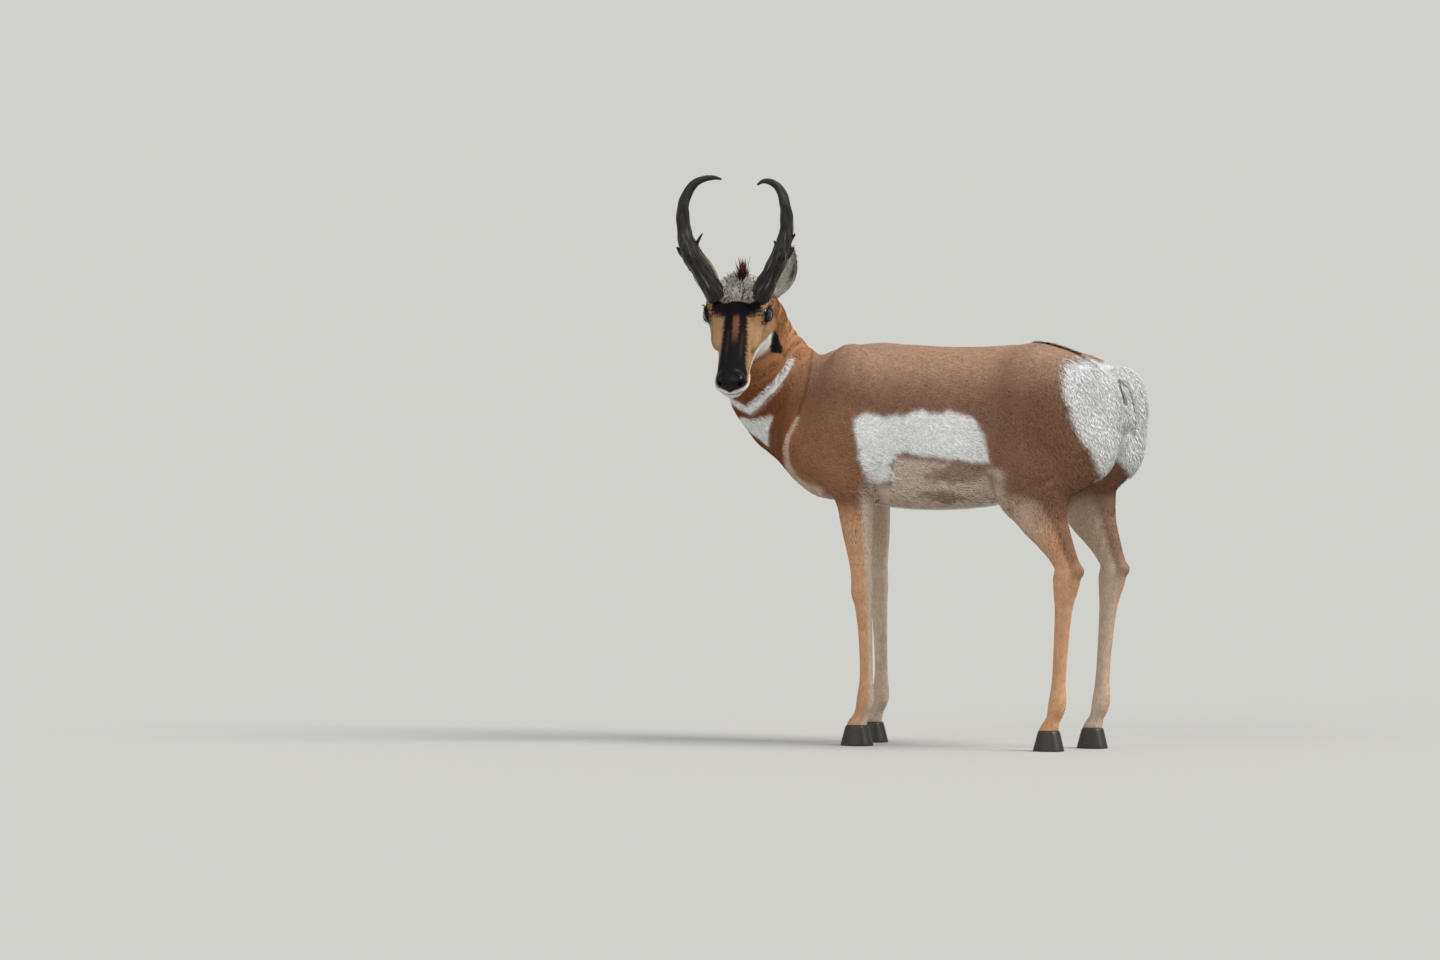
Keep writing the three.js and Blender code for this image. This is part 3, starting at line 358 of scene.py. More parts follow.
LEG_ROWS = {
    "foreleg_left": FORELEG,
    "foreleg_right": stepped(FORELEG, RIGHT_FORE_STEP, -1),
    "hindleg_left": HINDLEG,
    "hindleg_right": stepped(HINDLEG, RIGHT_HIND_STEP, -1),
}
LEGS = {name: limb_of(rows, 5) for name, rows in LEG_ROWS.items()}
NECK_LIMB = limb_of(NECK, 2)
TAIL_LIMB = limb_of(TAIL, 3)


def side_of(name):
    return 1 if name.endswith("left") else -1


def trunk_field(p):
    d = profile_field(p, TRUNK, 2.2)
    for side in (1, -1):
        q = p * [1, side, 1]
        for row in SHOULDER:
            d = blend(d, mass_field(q, row), SHOULDER_BLEND)
        d = blend(d, bar_field(q, SHOULDER_POINT, ELBOW, 50, 42), SHOULDER_BLEND)
        for row in HAUNCH:
            d = blend(d, mass_field(q, row), HAUNCH_BLEND)
        d = blend(d, bar_field(q, HIP, STIFLE, 34, 42), THIGH_BLEND)
    return d


def leg_field(p, name):
    side = side_of(name)
    d = limb_field(p, LEGS[name])
    if name.startswith("hind"):
        q = (p - [0 if side > 0 else RIGHT_HIND_STEP, 0, 0]) * [1, side, 1]
        d = blend(d, bar_field(q, HOCK, HOCK_POINT, 17, 13), 10)
        d = blend(d, bar_field(q, HOCK_POINT, TENDON_TOP, 9, 13), 14)
    return d


def head_field(p):
    h = to_head(p)
    d = profile_field(h, SKULL, 2.3)
    for row, width in ((CHEEK, 22), (CHEEKBONE, 16), (ORBIT, 14), (BROW, 12), (LIP, 9), (NOSTRIL_RIM, 9)):
        d = blend(d, mass_field(left_twin(h), row), width)
    return blend(d, mass_field(h, CHIN), 9)


def unit(v):
    return v / np.linalg.norm(v, axis=-1, keepdims=True)


# Lids, nostrils, lips and folds of the face are worked into the field near the head.
eye_facing = unit(EYE_WAY)
eye_fore = np.array([0.95, 0, -0.3])
eye_fore = unit(eye_fore - (eye_fore @ eye_facing) * eye_facing)
eye_up = np.cross(eye_fore, eye_facing)
eye_up = eye_up * np.sign(eye_up[2])


def eye_place(q):
    """A point's share of the way out to the lids' edge, how far it is in front of the eyeball's centre, from that
    centre, from the line of sight, and above it."""
    o = q - EYE_AT
    u, v, w = o @ eye_fore, o @ eye_up, o @ eye_facing
    far = np.sqrt(u * u + v * v + w * w)
    flat = np.hypot(u, v)
    lid = np.where(v > 0, LID_UP, LID_DOWN) * (1 - 0.25 * np.clip(u / LID_HALF, 0, 1) ** 2)
    share = np.hypot(u / LID_HALF, v / lid)
    return share, w, far, flat, v


def groove(x, width):
    return np.exp(-(x / width) ** 2)


def mouth_line(h):
    """How far a point is above the line of the mouth, and how far round the muzzle from its middle."""
    r = np.hypot(h[:, 0] - MOUTH_BACK[0], h[:, 1])
    swing = np.arctan2(h[:, 1], h[:, 0] - MOUTH_BACK[0]) / math.radians(100)
    return h[:, 2] - (MOUTH_BACK[2] + r * (-0.03 + 0.09 * swing**2)), np.abs(swing)


def face_detail(p, d):
    near = np.linalg.norm(p - from_head(FACE_MIDDLE), axis=1) < FACE_REACH
    h = to_head(p[near])
    q = left_twin(h)
    e = d[near]
    gap, swing = mouth_line(h)
    e = e + 2.6 * groove(gap, 2.0) * ease(1.02 - swing, 0, 0.12)
    # Each nostril is a comma-shaped pit.
    way = unit(np.array([0.5, 0.55, 0.42]))
    across = unit(np.cross(way, np.array([0.8, 0.3, -0.5])))
    o = q - NOSTRIL_AT
    bend = o @ np.cross(way, across) + 0.05 * (o @ way) ** 2
    k = np.sqrt((o @ way / 12) ** 2 + (o @ across / 4.6) ** 2 + (bend / 6.4) ** 2)
    e = np.maximum(e, -egg_depth(o, k))
    # A cleft runs from the nose to the upper lip.
    e = e + (
        1.6 * groove(h[:, 1], 1.6) * ease(h[:, 0], 180, 192)
        * ease(h[:, 2], -52, -44) * ease(-h[:, 2], 30, 36)
    )
    # Round each eye are a fold above and below, the opening, thick lid rims and the socket of the ball.
    share, w, far, flat, v = eye_place(q)
    e = e + 1.5 * groove(share - 1.75, 0.1) * ease(w, 0, 10) * ease(v, 0, 6)
    e = e + 1.2 * groove(share - 1.65, 0.1) * ease(w, 0, 10) * ease(-v, 0, 6)
    edge = flat / np.maximum(share, 1e-3)
    e = np.where((w > 0) & (share < 1.4), np.maximum(e, np.minimum(edge - flat, 6)), e)
    ring = np.hypot(flat - edge, far - (EYE_RADIUS + 1.3)) - np.where(v > 0, 2.6, 2.0)
    e = np.where(w > -2, blend(e, ring, 4), e)
    e = np.maximum(e, EYE_RADIUS + LID_GAP - far)
    d = d.copy()
    d[near] = e
    return d


def coat_depth(p, head, legs):
    """How far the hide lies under the coat's outline: deepest on the rump, shallow on the head and legs."""
    depth = 6.0 + 3.0 * ease(-p[:, 0], 190, 250)
    depth = depth - (depth - 2.4) * ease(-head, -25, 5)
    return depth - (depth - 2.2) * ease(520 - p[:, 2], 0, 90) * ease(-legs, -25, 0)


def skin_field(p):
    legs = np.full(len(p), FAR_OFF)
    for name in LEGS:
        legs = np.minimum(legs, leg_field(p, name))
    body = blend(trunk_field(p), limb_field(p, NECK_LIMB), ROOT_BLEND)
    body = blend(body, limb_field(p, TAIL_LIMB), TAIL_BLEND)
    for name in LEGS:
        body = blend(body, leg_field(p, name), ROOT_BLEND)
    head = head_field(p)
    d = blend(body, head, HEAD_BLEND) + coat_depth(p, head, legs)
    return np.maximum(face_detail(p, d), SKIN_END - p[:, 2])


# Skin
# One unbroken hide over the whole body, from the lips to the coronets of the hooves. It is drawn on a grid of boxes,
# finer round the head and neck, with one corner in each box that the field's surface crosses.
SKIN_END = 41.0
COARSE, FINE = 6.0, 2.5
BLOCK = 4
CHUNK = 200000
LARGEST_MOVE = 1.2


def ticks(low, fine_low, fine_high, high):
    """Grid lines along one axis, closer together in the middle stretch, and enough of them to fill whole blocks."""
    line = np.concatenate([
        np.arange(low, fine_low, COARSE),
        np.arange(fine_low, fine_high, FINE),
        np.arange(fine_high, high + COARSE, COARSE),
    ])
    spare = (-(len(line) - 1)) % BLOCK
    return np.concatenate([line, line[-1] + COARSE * np.arange(1, spare + 1)])


TICKS = [ticks(-356, 430, 642, 660), ticks(-160, 48, 320, 325), ticks(30, 730, 1010, 1012)]


def spread_out(rough):
    for axis, line in enumerate(TICKS):
        rough = np.repeat(rough, BLOCK, axis).take(range(len(line)), axis)
    return rough


def grid_values(field):
    """The field on the grid: rough, from the corners of blocks, but exact wherever the surface may be near."""
    rough = np.stack(np.meshgrid(*[line[::BLOCK] for line in TICKS], indexing="ij"), -1)
    rough_value = field(rough.reshape(-1, 3)).reshape(rough.shape[:3])
    values = spread_out(rough_value).astype(np.float32)
    x, y, z = (np.gradient(line[::BLOCK]) for line in TICKS)
    span = np.sqrt(x[:, None, None] ** 2 + y[None, :, None] ** 2 + z[None, None, :] ** 2)
    near = spread_out(np.abs(rough_value) < 1.25 * span)
    for axis in range(3):
        near |= np.roll(near, BLOCK // 2, axis) | np.roll(near, -BLOCK // 2, axis)
    index = np.argwhere(near)
    points = np.stack([TICKS[k][index[:, k]] for k in range(3)], -1)
    parts = np.array_split(points, max(len(points) // CHUNK, 1))
    values[tuple(index.T)] = np.concatenate([field(part) for part in parts])
    return values


def surface_of(values):
    """One point for each cell that the surface crosses, and two triangles for each grid edge that it crosses."""
    inside = values < 0
    cells = np.zeros([n - 1 for n in values.shape], np.uint8)
    corners = [(i, j, k) for i in (0, 1) for j in (0, 1) for k in (0, 1)]
    cut = [slice(0, -1), slice(1, None)]
    for i, j, k in corners:
        cells += inside[cut[i], cut[j], cut[k]]
    at = np.argwhere((cells > 0) & (cells < 8))
    number = np.full(cells.shape, -1, np.int32)
    number[at[:, 0], at[:, 1], at[:, 2]] = np.arange(len(at))
    total = np.zeros((len(at), 3))
    count = np.zeros(len(at))
    for a in corners:
        for axis in range(3):
            if a[axis]:
                continue
            b = list(a)
            b[axis] = 1
            va = values[tuple((at + a).T)]
            vb = values[tuple((at + b).T)]
            crossed = (va < 0) != (vb < 0)
            t = va / np.where(crossed, va - vb, 1)
            place = np.array(a) + t[:, None] * (np.array(b) - a)
            total += np.where(crossed[:, None], place, 0)
            count += crossed
    share = total / count[:, None]
    points = np.stack([
        TICKS[k][at[:, k]] + share[:, k] * (TICKS[k][at[:, k] + 1] - TICKS[k][at[:, k]]) for k in range(3)
    ], -1)
    faces = []
    for axis in range(3):
        other = [(axis + 1) % 3, (axis + 2) % 3]
        low = [slice(None)] * 3
        high = [slice(None)] * 3
        low[axis], high[axis] = slice(0, -1), slice(1, None)
        first = inside[tuple(low)]
        edge = np.argwhere(first != inside[tuple(high)])
        edge = edge[(edge[:, other[0]] > 0) & (edge[:, other[1]] > 0)]
        step = np.eye(3, dtype=int)
        ring = [edge - step[other[0]] - step[other[1]], edge - step[other[1]], edge, edge - step[other[0]]]
        quad = np.stack([number[tuple(cell.T)] for cell in ring], -1)
        flip = ~first[tuple(edge.T)]
        quad[flip] = quad[flip][:, ::-1]
        faces.append(quad)
    quads = np.concatenate(faces)
    return points, np.concatenate([quads[:, [0, 1, 2]], quads[:, [0, 2, 3]]])


def face_cross(points, triangles):
    a, b, c = (points[triangles[:, k]] for k in range(3))
    return np.cross(b - a, c - a)


def normals_of(points, triangles):
    face = face_cross(points, triangles)
    normal = np.zeros_like(points)
    for k in range(3):
        for axis in range(3):
            normal[:, axis] += np.bincount(triangles[:, k], face[:, axis], len(points))
    return normal / np.maximum(np.linalg.norm(normal, axis=1, keepdims=True), 1e-9)


skin_points, skin_faces = surface_of(grid_values(skin_field))
skin_normals = normals_of(skin_points, skin_faces)
# Two steps down the field's slope bring the points onto its surface.
for _ in range(2):
    off = skin_field(skin_points)
    slope = skin_field(skin_points + skin_normals) - off
    move = np.clip(-off / np.maximum(slope, 0.4), -LARGEST_MOVE, LARGEST_MOVE)
    skin_points = skin_points + move[:, None] * skin_normals
    skin_normals = normals_of(skin_points, skin_faces)


# Markings
# Rusty tan above, white below and behind, a white band and a white triangle on the throat, a dark mask and a black
# patch at the angle of each jaw. They are worked out from places on the body, and the skin and the hair share them.
COAT = {
    "back": "#b08c74", "side": "#8a6753", "shoulder": "#976b4c", "neck": "#a9744d", "haunch": "#7f5b46",
    "rust": "#7f4b2b", "white": "#f4f3f1", "cream": "#d3b9a2", "belly": "#d2bfae", "belly_dirt_and_shade": "#937869",
    "stripe": "#7c5337", "leg": "#d3a17a", "leg_back": "#e2d3c3", "leg_inner": "#cdb7a2", "mane": "#3a2820",
    "face": "#b08961", "mask": "#0a0606", "streak": "#7c5443", "black": "#070505", "crown": "#d6cdc2",
    "nose": "#060505", "lid": "#050404", "ear_back": "#b39a7c", "ear_inner": "#ece6dc", "ear_edge": "#4a3527",
    "nape_highlight": "#c08a62",
}
COAT = {name: linear(colour) for name, colour in COAT.items()}
CHEST_AXIS = np.array([505.0, 25.0])
CHEST_HEADING = 46.0
NAPE = [
    [740, 470, 0, 8], [782, 518, 18, 28], [842, 548, 40, 58], [888, 562, 62, 85], [915, 574, 81, 105],
    [960, 590, 95, 112],
]
SHOULDER_FOLD_SHADE = [[813, 352], [809, 375], [806, 392], [800, 408], [797, 419]]
SHOULDER_LINE = [[798, 417], [788, 436], [785.5, 450], [787.5, 465], [794, 478], [806, 489], [819, 496]]
STIFLE_TOP = [[-206, 481], [-162, 538], [-87, 546], [-43, 580]]
RUMP_EDGE = [[540, -300], [570, -276], [603, -274], [645, -259], [686, -238], [728, -217], [770, -202], [811, -195]]


def ragged(p, scale, seed):
    """Smooth uneven waves through space, about `scale` long, between -1 and 1 nearly everywhere."""
    total = np.zeros(len(p))
    draw = np.random.default_rng(seed)
    for _ in range(6):
        way = unit(draw.normal(size=3))
        total += np.sin(p @ way * (2 * math.pi / scale) * draw.uniform(0.6, 1.6) + draw.uniform(0, 6.3))
    return total / 2.4


def turn_about(p, x, y, heading):
    """A point's angle round an upright line at (x, y), in degrees to the left of a heading."""
    return (np.degrees(np.arctan2(p[:, 1] - y, p[:, 0] - x)) - heading + 180) % 360 - 180


def nape_angle(p):
    x, y, heading = along(NAPE, p[:, 2]).T
    return np.abs(turn_about(p, x, y, heading + 180))


def parts_of(p):
    """How far a point belongs to the head, to the neck and to the legs."""
    head = head_field(p)
    neck = limb_field(p, NECK_LIMB)
    trunk = trunk_field(p)
    legs = np.min([leg_field(p, name) for name in LEGS], axis=0)
    on_head = ease(np.minimum(neck, trunk) - head, -16, 16)
    on_neck = ease(trunk - neck, -14, 22) * (1 - on_head)
    on_leg = ease(np.minimum(trunk, neck) - legs, -10, 12) * ease(560 - p[:, 2], 0, 60)
    return on_head, on_neck * (1 - on_leg), on_leg


def leg_middle(rows, z):
    return along(np.array([[row[2], row[0], row[1], row[3]] for row in rows])[::-1], z).T


def inner_leg(p):
    """How far a point lies on the inner side and on the back of a leg."""
    inner = np.zeros(len(p))
    rear = np.zeros(len(p))
    for name, rows in LEG_ROWS.items():
        x, y, half = leg_middle(rows, p[:, 2])
        close = ease(95 - np.hypot(p[:, 0] - x, p[:, 1] - y), 0, 20)
        inner = np.maximum(inner, close * ease(-(p[:, 1] - y) * side_of(name) / half, -0.05, 0.5))
        rear = np.maximum(rear, close * ease(-(p[:, 0] - x) / half, 0.5, 1.1))
    return inner, rear


def side_view(p):
    """Where a point on the left side lies in the photograph, in pixels; the right side mirrors it."""
    v = to_frame(left_twin(p)) - AIM
    depth = v[:, 0] * math.sin(PHOTO_TURN) - v[:, 1] * math.cos(PHOTO_TURN)
    across = v[:, 0] * math.cos(PHOTO_TURN) + v[:, 1] * math.sin(PHOTO_TURN)
    up = v[:, 2] * math.cos(PHOTO_RISE) - depth * math.sin(PHOTO_RISE)
    pixel = MM * PHOTO_MM_PER_PIXEL
    return np.stack([PHOTO_WIDTH / 2 + across / pixel, PHOTO_HEIGHT / 2 - up / pixel], -1)


def off_line(place, line):
    """Distance in the photograph's pixels from a line of points drawn on the animal's side."""
    line = np.array(line, float)
    best = np.full(len(place), 1e3)
    for a, b in zip(line[:-1], line[1:]):
        t = np.clip((place - a) @ (b - a) / ((b - a) @ (b - a)), 0, 1)
        best = np.minimum(best, np.linalg.norm(place - a - t[:, None] * (b - a), axis=1))
    return best


def coat_colour(p):
    colour = np.tile(COAT["side"], (len(p), 1))
    x, y, z = p.T
    on_head, on_neck, on_leg = parts_of(p)
    rough_edge = 0.35 + 0.65 * ease(430 - x, 0, 60)
    wobble = (ragged(p, 46, 3) * 3.5 + ragged(p, 15, 5) * 2.0) * rough_edge
    inner, rear = inner_leg(p)
    outer_leg = on_leg * (1 - inner)

    def paint(name, share):
        share = np.clip(share, 0, 1)[:, None]
        colour[:] = colour * (1 - share) + COAT[name] * share

    # The tan coat, paler on the back, darker on the haunch and shoulder and redder on the neck. The paler back above
    # the darker sides is partly the coat's own tone and partly painted light from above.
    paint("back", ease(z, 720, 830))
    paint("haunch", 0.8 * ease(-x, 60, 170) * ease(800 - z, 0, 120))
    paint("shoulder", ease(x, 250, 330) * ease(780 - z, 0, 120))
    paint("neck", ease(x, 400, 480))
    paint("rust", 0.85 * ease(x, 440, 500) * ease(760 - z, 0, 60))
    # A paler strip along the top of the neck is a painted highlight, where the light catches the nape.
    paint("nape_highlight", on_neck * ease(z, 760, 850) * ease(80 - nape_angle(p), 0, 50))

    # The white field on the flank, between slanted edges, and the white belly under it. Below the flank's white, the
    # cream belly and its brown blotches are partly dirt and partly painted shade on the underside of the belly.
    flank = ease(x - (-2 - (693 - z) * 0.37) + wobble, -8, 8) * ease(290 - (694 - z) * 0.2 - x + wobble, -8, 8)
    corner = 26 * ease(38 - x, 0, 50) ** 2 + 10 * ease(x, 262, 290)
    top_edge = 706 - 9 * groove(x - 205, 38) - corner
    low_edge = 600 + 20 * ease(x, -40, 190) - 62 * ease(x + 1.5 * wobble, 186, 216)
    below = flank * ease(low_edge + 6 - z + wobble * 1.6, -9, 9) * ease(top_edge - z, -8, 8) * ease(x, -60, -20)
    paint("belly", ease(low_edge - z, 0, 20) * ease(x, -100, -50) * ease(286 - x, 0, 26) * (1 - outer_leg))
    under = ease(526 - z + wobble, -10, 14) * ease(x, -190, -110) * ease(440 - x, 0, 60) * (1 - outer_leg)
    paint("white", under * ease(36 - np.abs(y), 0, 26))
    paint("white", flank * ease(top_edge - z + wobble, -8, 8) * ease(z - low_edge + wobble, -8, 8))
    blotch = np.hypot((x - 36) / 92, (z - 580 + 0.06 * (x - 36)) / 22)
    blotch = blotch + 0.2 * ragged(p, 38, 12) + 0.1 * ragged(p, 11, 14)
    paint("belly_dirt_and_shade", 0.85 * below * ease(1.05 - blotch, -0.2, 0.45))
    blotch = np.hypot((x - 102) / 48, (z - 527) / 12) + 0.2 * ragged(p, 34, 13) + 0.1 * ragged(p, 11, 14)
    paint("belly_dirt_and_shade", 0.75 * ease(1.05 - blotch, -0.3, 0.4) * ease(np.abs(y), 20, 40))
    paint("belly_dirt_and_shade", 0.8 * ease(1.0 - np.hypot((x + 40) / 30, (z - 552) / 34), -0.2, 0.5))

    # The white rump, with a thin brown line down its middle, and the dark crest before it
    rump = ease(along(RUMP_EDGE, z)[:, 0] - x + wobble, -8, 8) * ease(z, 540, 585)
    paint("white", rump)
    paint("stripe", 0.85 * rump * ease(3.5 - np.abs(y) + 0.3 * wobble, -2, 2) * ease(z, 650, 700))
    paint("mane", ease(6 - np.abs(y), -2, 2) * ease(z, 780, 800) * ease(x, -205, -185) * ease(-66 - x, 0, 14))

    # The rusty throat, with a white band round it and a white triangle below
    angle = np.abs(turn_about(p, *CHEST_AXIS, CHEST_HEADING))
    throat = ease(x, 400, 440) * ease(y + 80, 0, 30) * (1 - on_head)
    paint("rust", 0.9 * throat * ease(105 - angle, 0, 45) * ease(830 - z, 0, 90) * ease(z, 560, 620))
    band = 703 + 1.135 * angle
    band_half = (10 + 0.07 * angle) * (1 - 0.55 * ease(angle, 74, 98))
    paint("white", throat * ease(band_half - np.abs(z - band) + wobble, -3, 3) * ease(99 - angle, -3, 3))
    low = 627 + 58 * (angle / 42) ** 1.3
    top = 685 + 0.15 * angle
    paint("white", throat * ease(top - z + wobble, -3, 3) * ease(z - low + wobble, -4, 4) * ease(46 - angle, -3, 3))

    # The fold on the shoulder, darkened with painted shade, the pale line that curves below it, and the pale brisket
    seen = side_view(p)
    fore = ease(x, 380, 410) * (1 - on_head) * (1 - on_leg)
    paint("mane", 0.45 * fore * ease(2.0 - off_line(seen, SHOULDER_FOLD_SHADE), 0, 1.2))
    # The pale line along the brisket's edge is partly the coat's own colour and partly painted light on that edge.
    pale = 1.8 + 0.04 * np.maximum(seen[:, 1] - 419, 0)
    paint("cream", 0.95 * fore * ease(pale - off_line(seen, SHOULDER_LINE) + 0.1 * wobble, -0.6, 1.0))
    paint("cream", ease(548 - z + wobble, -10, 12) * ease(x, 395, 425))

    # The legs, paler behind and inside, and the dark line down the back of the neck
    hind = ease(90 - x, 0, 20)
    stifle_top = np.interp(x, *np.array(STIFLE_TOP, float).T)
    stifle = ease(stifle_top - z + wobble, -4, 26) * ease(x, -206, -130) * ease(-30 - x, 0, 20) * ease(z, 400, 470)
    paint("leg", on_leg * ease(520 - z, 0, 60))
    paint("cream", 0.75 * stifle * ease(np.abs(y), 50, 80))
    paint("leg_back", 0.8 * on_leg * rear * (1 - hind))
    paint("leg_inner", on_leg * inner)
    paint("haunch", 0.8 * on_leg * hind * rear * ease(z, 300, 430))
    paint("mane", 0.7 * on_neck * ease(9 - nape_angle(p), -3, 5) * ease(z, 850, 890))

    # The face and crown, with white jaws and the black patch at each angle of the jaw
    h = to_head(p)
    a, b, c = h[:, 0], np.abs(h[:, 1]), h[:, 2]
    fine = ragged(p, 12, 9) * 1.4
    paint("face", ease(a, -34, -14) * on_head)
    paint("crown", ease(c, 20, 32) * ease(-a, -12, 0) * ease(52 - b, 0, 10) * ease(a, -100, -84))
    paint("white", ease(-(c + 40 + 0.22 * (a - 2)) + fine, -4, 5) * ease(a, -2, 12) * on_head)
    paint("white", ease(-(c + 45) + fine, -4, 5) * ease(a, -4, 8) * ease(on_head, 0.2, 0.6))
    patch = np.hypot((a + 4) / 13, (c + 74) / 27)
    paint("black", ease(1.05 - patch + fine * 0.05, -0.12, 0.14) * ease(b, 40, 52) * ease(100 - b, 0, 15))

    # The dark mask down the nose, streaked with tan, the forehead, the lids, the nose pad and the lips
    half = 24 + 0.06 * np.maximum(a - 40, 0)
    mask = ease(half - b + fine, -4, 4) * ease(a, 16, 30) * ease(c, -46, -34) * on_head
    paint("mask", mask)
    centre = np.abs(h[:, 1] - 2)
    paint("streak", mask * ease(6.5 - centre + fine, -2, 3) * ease(a, 38, 48) * ease(112 - a, 0, 50))
    beside = ease(3 - np.abs(centre - 15), -2, 3)
    paint("streak", 0.15 * mask * beside * ease(a, 60, 80) * ease(150 - a, 0, 30))
    forehead = ease(a, 1, 8) * ease(44 - a + 2 * fine, 0, 14) * ease(c + 0.5 * np.maximum(b - 20, 0), 20, 30)
    paint("mask", forehead * ease(60 - b + 3 * fine, 0, 8) * on_head)
    share, w = eye_place(left_twin(h))[:2]
    paint("mask", 0.8 * ease(1.66 - share + fine * 0.08, -0.1, 0.5) * ease(w, -4, 6) * on_head)
    paint("lid", ease(1.28 - share, -0.04, 0.08) * ease(w, 0, 5) * on_head)
    paint("mask", ease(a - 148 + fine, -6, 8) * ease(c + 40, -6, 6) * ease(34 - b, -2, 4))
    paint("nose", ease(a - 165 - 0.3 * np.maximum(b - 24, 0) + fine, -3, 3) * ease(c + 46, -3, 3))
    gap, swing = mouth_line(h)
    paint("nose", ease(2.4 - np.abs(gap), 0, 1.6) * ease(1.02 - swing, 0, 0.1) * ease(a, 100, 120) * on_head)
    return colour


def bare_skin(p):
    """How far the skin is naked and wet at a point: the nose pad, the lips' edge and the rims of the lids."""
    h = to_head(p)
    a, b, c = h[:, 0], np.abs(h[:, 1]), h[:, 2]
    gap, swing = mouth_line(h)
    nose = ease(a - 166 - 0.3 * np.maximum(b - 24, 0), -2, 3) * ease(c + 46, -2, 3)
    lips = ease(2.4 - np.abs(gap), 0, 1.4) * ease(1.02 - swing, 0, 0.1) * ease(a, 100, 120)
    share, w, far = eye_place(left_twin(h))[:3]
    rim = ease(1.22 - share, -0.04, 0.08) * ease(w, 0, 5) * ease(40 - far, 0, 5)
    return np.maximum(nose, np.maximum(lips, rim))


def lie_of(p, normal):
    """The way the hair points along the skin: back along the head and trunk, down the neck and legs."""
    on_head, on_neck, on_leg = parts_of(p)
    h = to_head(p)
    trunk_way = unit(np.stack([
        -1 + 0.5 * ease(-p[:, 0], 60, 220), np.zeros(len(p)), -0.25 - 0.55 * ease(-p[:, 0], 40, 200)
    ], -1))
    t = ease(p[:, 2], 740, 880)[:, None]
    neck_way = unit((1 - t) * np.array([-0.75, -0.1, -0.65]) + t * np.array([-0.3, -0.3, -0.9]))
    leg_way = np.array([-0.2, 0.0, -1.0])
    head_way = -FORE - 0.25 * CROWN * ease(-h[:, 2], 0, 40)[:, None] + 0.1 * SIDE * np.sign(h[:, 1])[:, None]
    head_way = head_way + 0.5 * CROWN * (ease(h[:, 2], 20, 36) * ease(-h[:, 0], -10, 10))[:, None]
    on_trunk = 1 - np.clip(on_head + on_neck + on_leg, 0, 1)
    way = (
        on_trunk[:, None] * trunk_way + on_neck[:, None] * neck_way
        + on_leg[:, None] * leg_way + on_head[:, None] * head_way
    )
    way = way - (way * normal).sum(1)[:, None] * normal
    return way / np.maximum(np.linalg.norm(way, axis=1, keepdims=True), 1e-6)


def set_values(piece, name, kind, values):
    attribute = piece.data.attributes.new(name, kind, "POINT")
    field = {"FLOAT_COLOR": "color", "FLOAT": "value", "FLOAT_VECTOR": "vector"}[kind]
    attribute.data.foreach_set(field, np.ascontiguousarray(values, np.float32).ravel())


def set_colour(piece, colour):
    set_values(piece, "coat", "FLOAT_COLOR", np.concatenate([colour, np.ones((len(colour), 1))], 1))


def set_lie(piece, points, way):
    """Places squeezed along the hair, so that a grain drawn in them runs out into streaks."""
    reach = (points * way).sum(-1, keepdims=True)
    set_values(piece, "lie_place", "FLOAT_VECTOR", (points - LIE_STRETCH * reach * way) * MM)


def stored(tree, name, output):
    return node(tree, "Attribute", attribute_name=name).outputs[output]


def object_place(tree):
    return node(tree, "TexCoord").outputs["Object"]


def noise(tree, place, scale, detail, roughness=0.5):
    inputs = {"Vector": place, "Scale": scale, "Detail": detail, "Roughness": roughness}
    return node(tree, "TexNoise", inputs).outputs["Fac"]


def ranged(tree, value, low, high, bottom, top):
    inputs = {"Value": value, "From Min": low, "From Max": high, "To Min": bottom, "To Max": top}
    return node(tree, "MapRange", inputs).outputs[0]


def shaded_coat(tree, shade):
    colour = stored(tree, "coat", "Color")
    return node(tree, "VectorMath", {0: colour, "Scale": shade}, operation="SCALE").outputs[0]


def bump(tree, height, distance, strength):
    return node(tree, "Bump", {"Height": height, "Distance": distance, "Strength": strength}).outputs[0]


# Hide with its short flat underhair: dull, with a fine grain along the lie of the coat. Single hairs are 0.1 mm, so
# the grain is drawn as locks 1.2 mm wide. The nose is hairless leather, pebbled every 1.5 mm and wet.
HAIR_WIDTH = 1.2 * MM
PEBBLE = 1.5 * MM
LIE_STRETCH = 0.82
skin_material, tree = new_material("hide_with_underhair")
bare = stored(tree, "bare", "Fac")
place = object_place(tree)
grain = noise(tree, stored(tree, "lie_place", "Vector"), 1 / (2 * HAIR_WIDTH), 3.0)
depth_shade = ranged(tree, grain, 0.3, 0.7, 0.62, 1.12)
clump_shade = ranged(tree, noise(tree, place, 60.0, 2.0), 0.3, 0.7, 0.9, 1.08)
both = node(tree, "Math", {0: depth_shade, 1: clump_shade}, operation="MULTIPLY").outputs[0]
pebbles = node(tree, "TexVoronoi", {"Vector": place, "Scale": 1 / PEBBLE}).outputs["Distance"]
hair_relief, nose_relief = bump(tree, grain, 1.2 * MM, 0.8), bump(tree, pebbles, 0.35 * MM, 0.6)
relief = node(tree, "Mix", {"Factor": bare, 4: hair_relief, 5: nose_relief}, data_type="VECTOR")
finish_material(tree, {
    "Base Color": shaded_coat(tree, both),
    "Roughness": ranged(tree, bare, 0, 1, 0.85, 0.3),
    "Normal": relief.outputs[1],
    "Specular IOR Level": 0.2,
})

skin = add_mesh("skin", to_frame(skin_points), skin_faces, skin_material)
skin_colour = coat_colour(skin_points)
skin_lie = lie_of(skin_points, skin_normals)
set_colour(skin, skin_colour)
set_values(skin, "bare", "FLOAT", bare_skin(skin_points))
set_lie(skin, skin_points, skin_lie)
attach(skin, "root")
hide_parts("torso", "neck", "head", "tail")
for name in LEGS:
    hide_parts(name + "_upper", name + "_lower")

